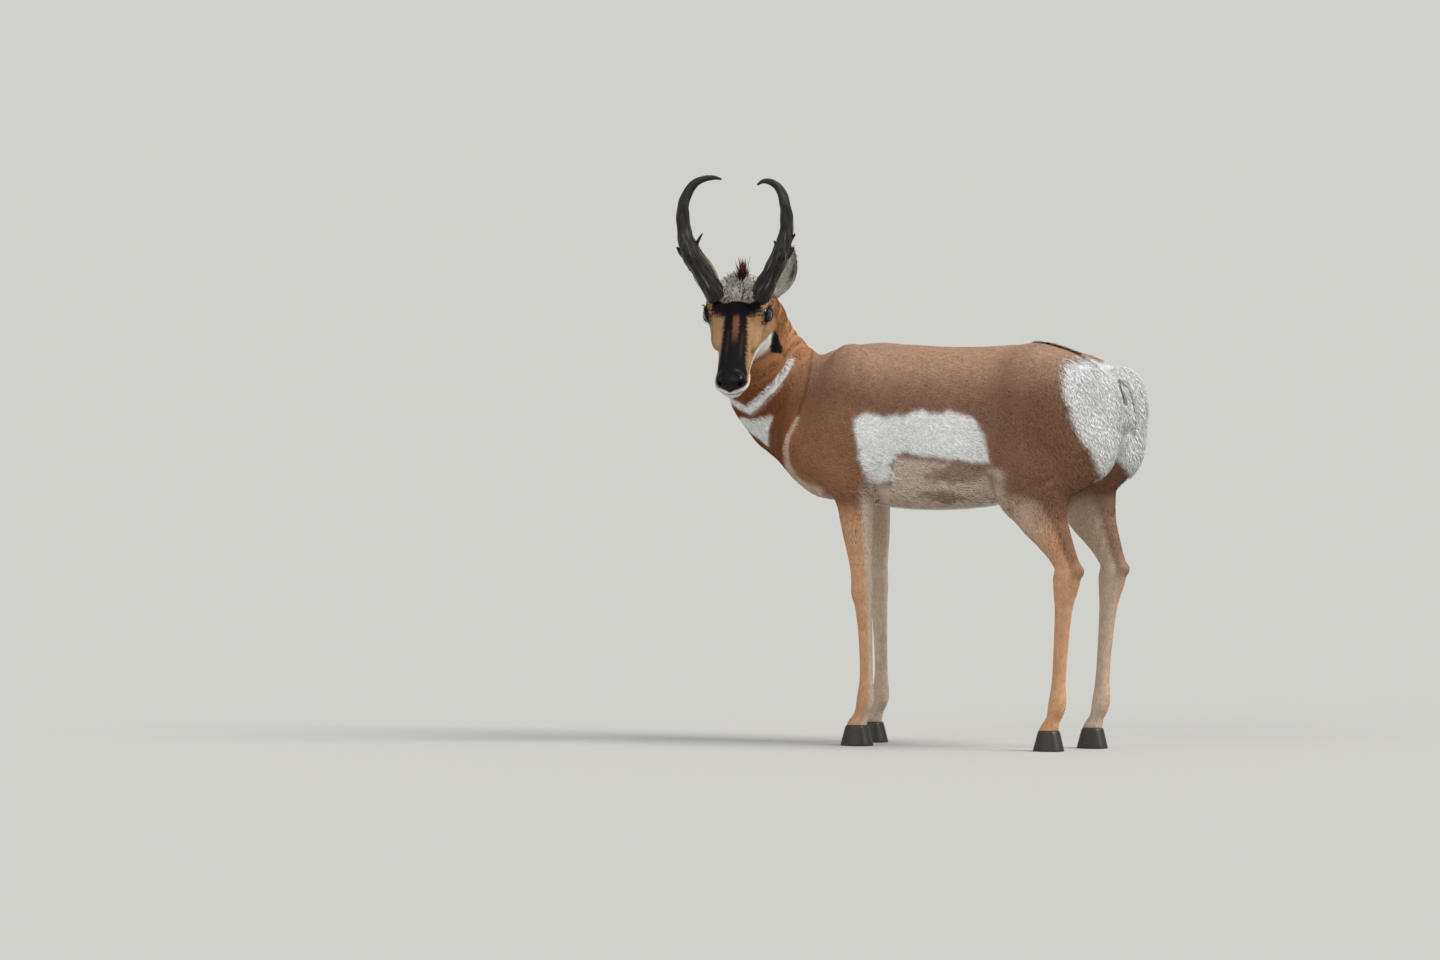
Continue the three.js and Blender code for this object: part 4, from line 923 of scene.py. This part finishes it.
# Coat
# Brittle, hollow guard hairs that lie close along the body in overlapping locks: short on face and legs, longer on
# the neck and belly, and longest on the white rump. Each lock is a thin closed blade, rooted in the skin.
hair_material, tree = new_material("guard_hair")
strand = noise(tree, object_place(tree), 0.4 / HAIR_WIDTH, 2.0)
finish_material(tree, {
    "Base Color": shaded_coat(tree, ranged(tree, strand, 0.3, 0.7, 0.84, 1.14)),
    "Roughness": 0.7,
    "Specular IOR Level": 0.1,
})

LONG_FACES = [
    [0, 1, 4], [0, 4, 3], [1, 2, 5], [1, 5, 4], [2, 0, 3], [2, 3, 5], [3, 4, 6], [4, 5, 6], [5, 3, 6], [0, 2, 1],
]
SHORT_FACES = [[0, 1, 3], [1, 2, 3], [2, 0, 3], [0, 2, 1]]
ROOT_DEPTH = 1.2
DRAWS_PER_CELL = 3.2
CELL_SHIFT, CELL_SPAN = 2000, 4096
HAIR_SEED = 977
PATCH = 0.003
LONG_PATCH = np.array([[0, 0], [1, 0], [0.5, 0.15], [0.1, 0.5], [0.9, 0.5], [0.5, 0.6], [0.5, 1]]) * PATCH
SHORT_PATCH = np.array([[0, 0], [1, 0], [0.5, 0.2], [0.5, 1]]) * PATCH


def scatter(surface, share, spacing, seed):
    """Evenly spread roots on a surface, about `spacing` apart, where the face's `share` is over nought."""
    points, faces, normals, ways, colours = surface
    roll = np.random.default_rng(seed)
    weight = np.linalg.norm(face_cross(points, faces), axis=1) / 2 * share
    count = int(DRAWS_PER_CELL * weight.sum() / spacing**2)
    pick = roll.choice(len(weight), count, p=weight / weight.sum())
    u, v = roll.random((2, count))
    over = u + v > 1
    u[over], v[over] = 1 - u[over], 1 - v[over]
    mix = np.stack([1 - u - v, u, v], -1)[:, :, None]
    roots, normal, way, colour = ((values[faces[pick]] * mix).sum(1) for values in (points, normals, ways, colours))
    cell = np.floor(roots / spacing).astype(np.int64) + CELL_SHIFT
    key = (cell[:, 0] * CELL_SPAN + cell[:, 1]) * CELL_SPAN + cell[:, 2]
    first = np.unique(key, return_index=True)[1]
    return roots[first], unit(normal[first]), way[first], colour[first]


def unwrap(p):
    """A place on a flat layout of the skin: along the trunk, neck or head one way, and round it the other."""
    h = to_head(p)
    on_head, on_neck, on_leg = parts_of(p)
    u = 0.02 + 0.38 * (p[:, 0] + 340) / 900
    v = 0.5 + 0.48 * np.arctan2(p[:, 1], p[:, 2] - 680) / math.pi
    around = turn_about(p, *along(NAPE, p[:, 2]).T) / 360
    u = np.where(on_neck > 0.5, 0.42 + 0.16 * (p[:, 2] - 560) / 460, u)
    v = np.where(on_neck > 0.5, 0.5 + 0.96 * around, v)
    u = np.where(on_head > 0.5, 0.6 + 0.2 * (h[:, 0] + 125) / 335, u)
    v = np.where(on_head > 0.5, 0.5 + 0.48 * np.arctan2(h[:, 1], h[:, 2] + 25) / math.pi, v)
    for i, rows in enumerate(LEG_ROWS.values()):
        x, y = leg_middle(rows, p[:, 2])[:2]
        close = (on_leg > 0.5) & (np.hypot(p[:, 0] - x, p[:, 1] - y) < 100)
        u = np.where(close, 0.82 + 0.16 * (turn_about(p, x, y, 0) / 360 + 0.5), u)
        v = np.where(close, 0.01 + 0.245 * i + 0.23 * p[:, 2] / 620, v)
    return np.clip(np.stack([u, v], -1), 0, 1 - PATCH)


def speckle_of(p):
    """Light and dark flecks a few millimetres wide, where dark-tipped hairs bunch, and broader mottling."""
    return 0.3 * ragged(p, 10, 101) * ragged(p, 13, 104) + 0.26 * ragged(p, 8.5, 102) + 0.06 * ragged(p, 60, 103)


def add_hair(name, locks, long, wide, lift, curl=0.35, bent=True, stray=0.16):
    """One piece of locks, `long` and `wide`, that rise by `lift` of their length and swing aside by `stray`."""
    roots, normal, way, colour = locks
    count = len(roots)
    roll = np.random.default_rng(len(name) * HAIR_SEED + count)
    across = np.cross(normal, way)
    swing = roll.normal(0, stray, count)[:, None]
    way = unit(way * np.cos(swing) + across * np.sin(swing))
    across = np.cross(normal, way)
    long = (long * roll.uniform(0.75, 1.2, count))[:, None]
    wide = (wide * roll.uniform(0.8, 1.2, count))[:, None]
    rise = (lift * roll.uniform(0.6, 1.4, count))[:, None]
    thick = wide * 0.22
    foot = roots - normal * ROOT_DEPTH
    ring = [foot + across * wide / 2, foot - across * wide / 2, foot + normal * thick]
    tone = [0.78] * 3
    if bent:
        middle = roots + way * long * 0.5 + normal * long * rise * 0.62
        ring += [middle + across * wide * 0.42, middle - across * wide * 0.42, middle + normal * thick]
        tone += [0.96] * 3
    side = across * (roll.normal(0, 0.08, count)[:, None] * long)
    ring.append(roots + way * long + normal * long * rise * (1 - curl) + side)
    tone.append(1.1)
    pattern = np.array(LONG_FACES if bent else SHORT_FACES)
    faces = (pattern[None] + (np.arange(count) * len(ring))[:, None, None]).reshape(-1, 3)
    piece = add_mesh(name, to_frame(np.stack(ring, 1).reshape(-1, 3)), faces, hair_material)
    fleck = speckle_of(roots) * (1 - 0.8 * ease(colour.mean(1), 0.4, 0.75))
    bright = np.exp(roll.normal(0, 0.1, count) + fleck)[:, None]
    warm = roll.normal(0, 0.03, count)[:, None] * np.array([1, 0, -1])
    colour = np.clip(colour * (bright + warm), 0, 1)
    set_colour(piece, np.clip(colour[:, None, :] * np.array(tone)[None, :, None], 0, 1).reshape(-1, 3))
    patch = LONG_PATCH if bent else SHORT_PATCH
    corner_uv = (unwrap(roots)[:, None, :] + patch[None]).reshape(-1, 2)[faces.ravel()]
    layer = piece.data.uv_layers.new(name="OFBake")
    layer.data.foreach_set("uv", np.ascontiguousarray(corner_uv, np.float32).ravel())
    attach(piece, "root")


face_middle = skin_points[skin_faces].mean(1)
face_head, face_neck, face_leg = (weight[skin_faces].mean(1) for weight in parts_of(skin_points))
face_x, face_y, face_z = face_middle.T
rump_share = ease(along(RUMP_EDGE, face_z)[:, 0] + 6 - face_x, 0, 1) * (face_z > 560)
trunk_share = (1 - ease(face_head + face_leg + face_neck, 0.45, 0.55)) * (1 - rump_share)
leg_share = ease(face_leg, 0.45, 0.55)
neck_share = ease(face_neck, 0.45, 0.55) * (1 - leg_share)
head_share = ease(face_head, 0.45, 0.55) * (bare_skin(face_middle) < 0.3)
hide = (skin_points, skin_faces, skin_normals, skin_lie, skin_colour)


def length_at(p, base):
    """Locks grow longer under the belly and along the back of the neck."""
    grown = base + 6 * ease(560 - p[:, 2], 0, 40) * ease(p[:, 0], -150, -60) * ease(330 - p[:, 0], 0, 60)
    return grown + 6 * ease(20 - nape_angle(p), 0, 10) * ease(p[:, 2], 800, 860)


MIDDLE_X = 90
for name, share, spacing, seed in (
    ("coat_trunk_left_fore", trunk_share * (face_y > 0) * (face_x > MIDDLE_X), 3.5, 21),
    ("coat_trunk_left_rear", trunk_share * (face_y > 0) * (face_x <= MIDDLE_X), 3.5, 22),
    ("coat_trunk_right_fore", trunk_share * (face_y <= 0) * (face_x > MIDDLE_X), 3.5, 27),
    ("coat_trunk_right_rear", trunk_share * (face_y <= 0) * (face_x <= MIDDLE_X), 3.5, 28),
    ("coat_neck_left", neck_share * (face_y > 30), 2.8, 23),
    ("coat_neck_right", neck_share * (face_y <= 30), 2.8, 33),
):
    locks = scatter(hide, share, spacing, seed)
    add_hair(name, locks, length_at(locks[0], 11.0), 2.2, 0.12, bent=False, stray=0.2)

add_hair("coat_rump", scatter(hide, rump_share, 3.9, 24), 20.0, 2.2, 0.1, stray=0.12)

# The dark hairs along the spine just before the rump stand up in a low crest.
crest = (np.abs(face_y) < 4.5) * (face_z > 775) * (face_x > -188) * (face_x < -74)
roots, normal, way, colour = scatter(hide, crest.astype(float), 2.4, 34)
dark = np.tile(COAT["mane"], (len(roots), 1))
add_hair("coat_crest", (roots, normal, way, dark), 10.0, 1.8, 0.5, stray=0.25)

for name, share, seed in (
    ("coat_forelegs", leg_share * (face_x > MIDDLE_X), 25),
    ("coat_hindlegs", leg_share * (face_x <= MIDDLE_X), 29),
):
    locks = scatter(hide, share, 3.0, seed)
    leg_long = 6.0 + 6.0 * ease(locks[0][:, 2], 330, 500)
    add_hair(name, locks, leg_long, 1.7, 0.1, bent=False, stray=0.1)

# No lock grows on the rims of the lids.
locks = scatter(hide, head_share, 2.3, 26)
keep = eye_place(left_twin(to_head(locks[0])))[0] > 1.32
locks = [values[keep] for values in locks]
head_long = 9.0 - 4.5 * ease(to_head(locks[0])[:, 0], 40, 110)
add_hair("coat_head", locks, head_long, 1.4, 0.1, bent=False, stray=0.1)

# Crown
# A fluffy grey cap between the horns, flecked with dark tips, and one dark tuft that stands up just behind them.
# Both are soft hair two or three times as long as the face's.
TUFT_COUNT = 240
TUFT_AT = [-68, 5, 10]
face_h = to_head(face_middle)
cap = (face_h[:, 0] < 4) * (face_h[:, 0] > -88) * (np.abs(face_h[:, 1]) < 50) * (face_h[:, 2] > 18)
roots, normal, way, colour = scatter(hide, ease(face_head, 0.45, 0.55) * cap, 2.6, 31)
roll = np.random.default_rng(32)
dark = roll.random(len(roots)) < 0.2
colour = np.where(dark[:, None], COAT["mane"] * 2.0, COAT["crown"])
add_hair("coat_crown", (roots, normal, way, colour), 18.0, 1.8, 0.75, curl=0.3, stray=0.5)

spread = roll.normal(0, 1, (TUFT_COUNT, 2))
ray = from_head(TUFT_AT + np.stack([9 * spread[:, 0], 3 * spread[:, 1], np.zeros(TUFT_COUNT)], -1))
for _ in range(14):
    ray = ray - skin_field(ray)[:, None] * CROWN * 0.9
normal = unit(CROWN + 0.25 * (to_head(ray) - [-70, 6, 30]) @ HEAD_AXES * 0.05)
way = unit(np.cross(normal, SIDE + 0.4 * roll.normal(size=(TUFT_COUNT, 3))))
colour = linear("#5a352a") * roll.uniform(0.4, 1.5, (TUFT_COUNT, 1))
add_hair("tuft_crown", (ray, normal, way, colour), 9.0, 2.2, 3.6, curl=0.0, stray=1.0)

# Ears
# Pointed leaf-shaped ears, cupped forward: gristle under short grey-tan hair, dark along the edge and the tip, with
# longer white hair inside the cup.
EAR_ROOT = {"left": [-80, 58, -8], "right": [-80, 54, -6]}
EAR_TIP = {"left": [-110, 112, 90], "right": [-112, 104, 90]}
EAR_FACING = [0.85, 0.5, 0.1]
EAR_ROWS = [
    [0, 13, 8], [0.12, 19, 13], [0.28, 27, 16], [0.46, 30, 16], [0.64, 27, 13], [0.8, 19, 8], [0.92, 9, 4],
    [1, 2.5, 1],
]
EAR_STEPS, EAR_SIDES = 44, 25
EAR_OPENING = 104


def tube_faces(steps, sides):
    """Two triangles for each gap in a tube of `steps` rings, each of `sides` points."""
    i, k = np.meshgrid(np.arange(steps - 1) * sides, np.arange(sides), indexing="ij")
    after = (k + 1) % sides
    quads = np.stack([i + k, i + after, i + sides + after, i + sides + k], -1).reshape(-1, 4)
    return np.concatenate([quads[:, [0, 1, 2]], quads[:, [0, 2, 3]]])


def closed_tube_faces(steps, sides):
    """The same tube with its ends closed on two more points, the first end's before the last one's."""
    k = np.arange(sides)
    after = (k + 1) % sides
    top = (steps - 1) * sides
    low_end = np.stack([np.full(sides, steps * sides), after, k], -1)
    high_end = np.stack([np.full(sides, steps * sides + 1), top + k, top + after], -1)
    return np.concatenate([tube_faces(steps, sides), low_end, high_end])


for name, side in (("left", 1), ("right", -1)):
    root, tip = (from_head(np.array(place[name]) * [1, side, 1]) for place in (EAR_ROOT, EAR_TIP))
    tall = np.linalg.norm(tip - root)
    axis = (tip - root) / tall
    facing = unit(np.array(EAR_FACING) * [1, side, 1]) @ HEAD_AXES
    front = unit(facing - (facing @ axis) * axis)
    across = np.cross(axis, front)
    t = np.linspace(0, 1, EAR_STEPS)[:, None]
    half, cup = (column[:, None] for column in along(EAR_ROWS, t[:, 0]).T)
    angle = np.radians(np.linspace(-EAR_OPENING, EAR_OPENING, EAR_SIDES))[None, :]
    centre = root + axis * (t * tall) + front * (cup * 0.5 - 10 * t**2)
    thin = (2.2 - 1.2 * t) * np.cos(angle * 0.8) ** 0.5
    waver = 0.9 * np.sin(angle * 9 + 3 * t) * t
    outer, inner = (
        centre[:, None, :] + across * (np.sin(angle) * (half + offset + waver * 0.4))[..., None]
        - front * (np.cos(angle) * (cup + offset + waver))[..., None]
        for offset in (thin, -thin)
    )
    ring = np.concatenate([outer, inner[:, ::-1]], 1)
    per = ring.shape[1]
    points = ring.reshape(-1, 3)
    root_end = []
    for m in range(EAR_SIDES - 1):
        a, b, c, d = m, m + 1, per - 2 - m, per - 1 - m
        root_end += [[c, d, a], [b, c, a]]
    root_end = np.array(root_end)
    tip_end = root_end[:, [1, 0, 2]] + (EAR_STEPS - 1) * per
    faces = np.concatenate([tube_faces(EAR_STEPS, per)[:, ::-1], root_end, tip_end])
    normals = normals_of(points, faces)

    # Dark along the edge and the tip, and painted shade in the gutter inside the front edge
    share = np.repeat(t, per, 1).ravel()
    turn = np.tile(np.abs(np.concatenate([angle[0], angle[0][::-1]])) / math.radians(EAR_OPENING), EAR_STEPS)
    within = np.tile(np.arange(per) >= EAR_SIDES, EAR_STEPS)
    colour = np.where(within[:, None], COAT["ear_inner"], COAT["ear_back"])
    rim = np.maximum(ease(share, 0.8, 0.96), ease(turn, 0.86, 1.0) * ease(share, 0.3, 0.6))
    gutter_shade = within * ease(turn, 0.42, 0.55) * ease(0.84 - turn, 0, 0.1) * ease(share, 0.25, 0.45)
    rim = 0.85 * np.maximum(rim, 0.9 * gutter_shade)[:, None]
    colour = colour * (1 - rim) + COAT["ear_edge"] * rim
    ear = add_mesh("ear_skin_" + name, to_frame(points), faces, skin_material)
    set_colour(ear, colour)
    set_lie(ear, points, axis)
    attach(ear, "root")
    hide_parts("ear_" + name)
    way = axis - (normals @ axis)[:, None] * normals
    blade = (points, faces, normals, unit(way + 1e-9), colour)
    face_in = within[faces].all(1)
    for kind, where, gap, long, lift in (("back", ~face_in, 2.4, 6.5, 0.1), ("cup", face_in, 2.8, 13.0, 0.35)):
        locks = scatter(blade, where * (share[faces].mean(1) < 0.97), gap, 41 + side)
        add_hair("ear_hair_%s_%s" % (kind, name), locks, long, 1.3, lift, stray=0.2)

# Eyes
# Large, dark and wet: a brown iris with a pupil that lies level, under a clear bulging cornea, in near-black rims.
# The ball is set as deep as in life, so that the lids lap over it.
EYE_SIDES, EYE_RINGS = 64, 38
IRIS_HALF, PUPIL_LONG, PUPIL_TALL = 11.5, 7.5, 4.2
IRIS, PUPIL, WHITE_OF_EYE = linear("#2a170b"), linear("#010102"), linear("#0d0908")
EYE_AXES = np.array([eye_fore, eye_up, eye_facing])
eye_material, tree = new_material("wet_cornea")
fibre = ranged(tree, noise(tree, object_place(tree), 900.0, 2.0), 0, 1, 0.7, 1.3)
finish_material(tree, {
    "Base Color": shaded_coat(tree, fibre), "Roughness": 0.08, "IOR": 1.376, "Coat Weight": 1.0,
    "Coat Roughness": 0.02,
})
for name, side in (("left", 1), ("right", -1)):
    turn, rise = np.meshgrid(
        np.linspace(0, 2 * math.pi, EYE_SIDES, endpoint=False), np.linspace(0, math.pi, EYE_RINGS + 2)[1:-1]
    )
    way = np.stack([np.sin(rise) * np.cos(turn), np.sin(rise) * np.sin(turn), np.cos(rise)], -1).reshape(-1, 3)
    way = np.concatenate([way, [[0, 0, 1], [0, 0, -1]]])
    bulge = 1.1 * ease(way[:, 2], 0.78, 0.95)
    local = way * (EYE_RADIUS - 0.2 + bulge)[:, None]
    points = (EYE_AT + local @ EYE_AXES) * [1, side, 1]
    faces = closed_tube_faces(EYE_RINGS, EYE_SIDES)[:, ::-side]
    in_front = way[:, 2] > 0
    iris = ease(IRIS_HALF - np.hypot(local[:, 0], local[:, 1]), -0.4, 0.6) * in_front
    pupil = ease(1 - np.hypot(local[:, 0] / PUPIL_LONG, local[:, 1] / PUPIL_TALL), -0.08, 0.08) * in_front
    colour = WHITE_OF_EYE + (IRIS - WHITE_OF_EYE) * iris[:, None]
    colour = colour + (PUPIL - colour) * pupil[:, None]
    ball = add_mesh("eyeball_" + name, to_frame(from_head(points)), faces, eye_material)
    set_colour(ball, colour)
    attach(ball, "root")
    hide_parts("eye_" + name)

    # Long stiff lashes along the upper lid, and a few short ones below
    for row, count, start, stop, long, lift in (
        ("upper", 44, 18, 165, 13.0, 0.25),
        ("lower", 14, 205, 335, 6.0, -0.2),
    ):
        roll = np.random.default_rng(60 + side + count)
        at = np.radians(np.linspace(start, stop, count) + roll.normal(0, 2, count))
        u, v = 1.12 * LID_HALF * np.cos(at), 1.2 * np.where(np.sin(at) > 0, LID_UP, LID_DOWN) * np.sin(at)
        w = np.sqrt(np.maximum((EYE_RADIUS + 2.2) ** 2 - u * u - v * v, 0))
        roots = from_head((EYE_AT + np.stack([u, v, w], -1) @ EYE_AXES) * [1, side, 1])
        fan = unit(np.stack([0.35 * np.cos(at) + 0.25, 0.45 * np.sin(at), 0.9 + 0 * at], -1)) @ EYE_AXES
        way = unit(fan * [1, side, 1]) @ HEAD_AXES
        normal = unit(np.cross(way, unit(np.cross(way, CROWN))))
        normal = normal * np.sign(normal @ CROWN)[:, None]
        locks = (roots, normal, way, np.tile(COAT["black"], (count, 1)))
        add_hair("lashes_%s_%s" % (row, name), locks, long, 0.9, lift, stray=0.12)

# Horns
# Sheaths of black keratin over a bony core, shed each year: rough and fissured low down, where hair is cemented in,
# with a flat prong and small knobs, and worn smooth and pale-flecked towards the hooked tips. A row holds the height
# and the way out along the bend, and how far fore, how wide and how deep the section is.
HORN_BASE = np.array([-14.0, 0, 46])
HORN_LEAN = math.radians(20)
HORN_BEND = {
    "right": [
        [-5, 46], [8, 51], [24, 59], [46, 70], [68, 81], [90, 92], [110, 100], [128, 106], [148, 110], [168, 111],
        [190, 109], [210, 104], [229, 94], [243, 79], [250, 60], [251, 42], [248, 28],
    ],
    "left": [
        [-5, 49], [8, 54], [24, 62], [42, 71], [64, 82], [84, 92], [104, 100], [122, 105], [142, 108], [162, 109],
        [183, 109], [203, 106], [220, 100], [235, 89], [243, 74], [243, 60], [236, 48],
    ],
}
HORN_SECTION = [
    [-1, 21, 30], [1, 21.5, 31], [2, 20.5, 31], [5, 19.5, 31], [8, 19, 31], [10, 19, 32], [10, 18, 30],
    [7, 16.5, 24], [3, 15, 19], [0, 14, 16.5], [-3, 12.5, 14.5], [-7, 11, 12.5], [-11, 9.5, 10.5], [-14, 8, 8.5],
    [-16, 6.5, 6.5], [-17, 4.5, 4.5], [-17, 2, 2],
]
PRONG = [
    [70, 93, 14, 12, 18], [88, 98, 30, 12, 15], [104, 102, 44, 9, 11], [118, 104, 52, 6, 7], [130, 105, 55, 1.5, 2],
]
KNOBS = [
    [[84, 100, 8, 12, 14], [96, 115, 10, 8, 9], [106, 125, 10, 1.5, 2]],
    [[94, 98, 6, 12, 13], [108, 88, 8, 6, 7], [120, 83, 8, 1.5, 2]],
]
FLAKE = {
    "right": [[96, 90, 8, 9, 9], [114, 82, 8, 5, 6], [127, 75, 8, 3, 4], [136, 69, 8, 1, 1.5]],
    "left": [[112, 108, 4, 9, 9], [122, 118, 6, 5, 6], [131, 125, 6, 3, 4], [136, 127, 6, 1, 1.5]],
}
HORN_UP = np.array([-math.sin(HORN_LEAN), 0, math.cos(HORN_LEAN)])
HORN_FORE = np.array([math.cos(HORN_LEAN), 0, math.sin(HORN_LEAN)])
horn_material, tree = new_material("weathered_horn_sheath")
place = stored(tree, "ridge_place", "Vector")
ridges = noise(tree, place, 260.0, 5.0, roughness=0.6)
keratin = mixed(tree, ranged(tree, ridges, 0.35, 0.6, 0, 1), rgba("#080606"), rgba("#2e2926"))
pale = ranged(tree, noise(tree, place, 120.0, 6.0, roughness=0.7), 0.56, 0.72, 0, 1)
finish_material(tree, {
    "Base Color": mixed(tree, pale, keratin, rgba("#7d766b")), "Roughness": 0.5,
    "Normal": bump(tree, ridges, 1.2 * MM, 0.9), "Specular IOR Level": 0.3,
})


def spike(side, rows, steps, sides, rough):
    """A horn, prong or knob: rings along a bent centre line, with ridges that fade out towards the tip."""
    numbered = [[i, *row] for i, row in enumerate(rows)]
    last = len(rows) - 1
    t = np.linspace(0, last, steps)

    def line(t):
        up, out, fore = along(numbered, t).T[:3, :, None]
        return HORN_BASE + out * [0, side, 0] + up * HORN_UP + fore * HORN_FORE

    centre = line(t)
    wide, deep = along(numbered, t).T[3:]
    axis = unit(line(np.minimum(t + 0.1, last)) - line(np.maximum(t - 0.1, 0)))
    u = unit(HORN_FORE - (axis @ HORN_FORE)[:, None] * axis)
    v = np.cross(axis, u)
    angle = np.linspace(0, 2 * math.pi, sides, endpoint=False)
    run = np.concatenate([[0], np.cumsum(np.linalg.norm(np.diff(centre, axis=0), axis=1))])
    flat = np.stack([
        np.cos(angle)[None] * wide[:, None], np.sin(angle)[None] * wide[:, None],
        np.broadcast_to(run[:, None] * 0.14, (steps, sides)),
    ], -1).reshape(-1, 3)
    bumps = ragged(flat, 9, 71) * 0.9 + ragged(flat, 4, 72) * 0.45 + 0.8 * ragged(flat * [1, 1, 4], 26, 73) - 0.4
    fade = rough * (1 - ease(run / run[-1], 0.62, 0.95))[:, None]
    grow = bumps.reshape(steps, sides) * fade
    ring = (
        centre[:, None] + u[:, None] * (np.cos(angle)[None] * (deep[:, None] + grow))[..., None]
        + v[:, None] * (np.sin(angle)[None] * (wide[:, None] + grow))[..., None]
    )
    points = np.concatenate([ring.reshape(-1, 3), centre[:1] - axis[:1], centre[-1:] + axis[-1:]])
    place = np.concatenate([flat, flat[:1], flat[-1:]]) * MM
    return points, closed_tube_faces(steps, sides), place


for name, side in (("left", 1), ("right", -1)):
    rows = [[*bend, *section] for bend, section in zip(HORN_BEND[name], HORN_SECTION)]
    pieces = [spike(side, rows, 190, 72, 1.0), spike(side, PRONG, 40, 36, 0.8)]
    pieces += [spike(side, knob, 26, 24, 0.6) for knob in [*KNOBS, FLAKE[name]]]
    points, faces, places = zip(*pieces)
    first = np.cumsum([0] + [len(part) for part in points])
    faces = np.concatenate([part + start for part, start in zip(faces, first)])
    horn = add_mesh("horn_sheath_" + name, to_frame(from_head(np.concatenate(points))), faces, horn_material)
    set_values(horn, "ridge_place", "FLOAT_VECTOR", np.concatenate(places))
    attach(horn, "root")
    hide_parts("horn_" + name)

# Hooves
# Two claws to a foot, of dark horn grown in rings from the coronet: flat sole, straight inner wall and bowed outer
# wall. A pronghorn has no dew claws.
HOOF_TOP = 44.0
FORE_CLAW = {"toe": 37, "crown": 24, "heel": -34, "back": -22, "half": 26, "top": 20}
HIND_CLAW = {"toe": 35, "crown": 22, "heel": -32, "back": -21, "half": 24, "top": 19}
WALL_SHARE = [0, 0.02, 0.06, 0.15, 0.3, 0.45, 0.6, 0.75, 0.88, 0.96, 1.0]
WALL_INSET = [1.6, 0.5, 0, 0, 0, 0, 0, 0, 0, 0.8, 2.6]
OUTER_SIDES, INNER_SIDES = 33, 13
CLAW_GAP = 1.2
RING_GAP = 4.0 * MM
hoof_material, tree = new_material("hoof_horn")
place = object_place(tree)
rings = node(tree, "TexWave", {
    "Vector": place, "Scale": 0.31 / RING_GAP, "Distortion": 1.2, "Detail": 2.0,
}, bands_direction="Z").outputs["Fac"]
grit = noise(tree, place, 300.0, 4.0)
height = node(tree, "Math", {0: rings, 1: grit}, operation="ADD").outputs[0]
finish_material(tree, {
    "Base Color": mixed(tree, grit, rgba("#14100e"), rgba("#3d352f")), "Roughness": 0.45,
    "Normal": bump(tree, height, 0.4 * MM, 0.6),
})
for name, rows in LEG_ROWS.items():
    side = side_of(name)
    sizes = FORE_CLAW if name.startswith("fore") else HIND_CLAW
    x, y = leg_middle(rows, np.array([HOOF_TOP]))[:2, 0]
    for which, way in (("outer", side), ("inner", -side)):
        loops = []
        for t, inset in zip(WALL_SHARE, WALL_INSET):
            front = sizes["toe"] + (sizes["crown"] - sizes["toe"]) * t - inset
            back = sizes["heel"] + (sizes["back"] - sizes["heel"]) * t + inset
            wide = sizes["half"] + (sizes["top"] - sizes["half"]) * t - inset
            middle, half = (front + back) / 2, (front - back) / 2
            angle = np.linspace(0, math.pi, OUTER_SIDES)
            along_claw = middle + half * np.concatenate([np.cos(angle), np.linspace(-0.9, 0.9, INNER_SIDES)])
            hollow = -0.3 * np.sin(np.linspace(0, math.pi, INNER_SIDES))
            out = CLAW_GAP + np.concatenate([wide * np.sin(angle) ** 0.75, hollow])
            loops.append(np.stack([x + along_claw, y + way * out, np.full(len(out), t * HOOF_TOP)], -1))
        ring = np.array(loops)
        points = np.concatenate([ring.reshape(-1, 3), ring[0].mean(0)[None], ring[-1].mean(0)[None]])
        faces = closed_tube_faces(*ring.shape[:2])[:, ::way]
        claw = add_mesh("hoof_%s_%s" % (name, which), to_frame(points), faces, hoof_material)
        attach(claw, "root")
        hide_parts("%s_claw_%s" % (name, which))
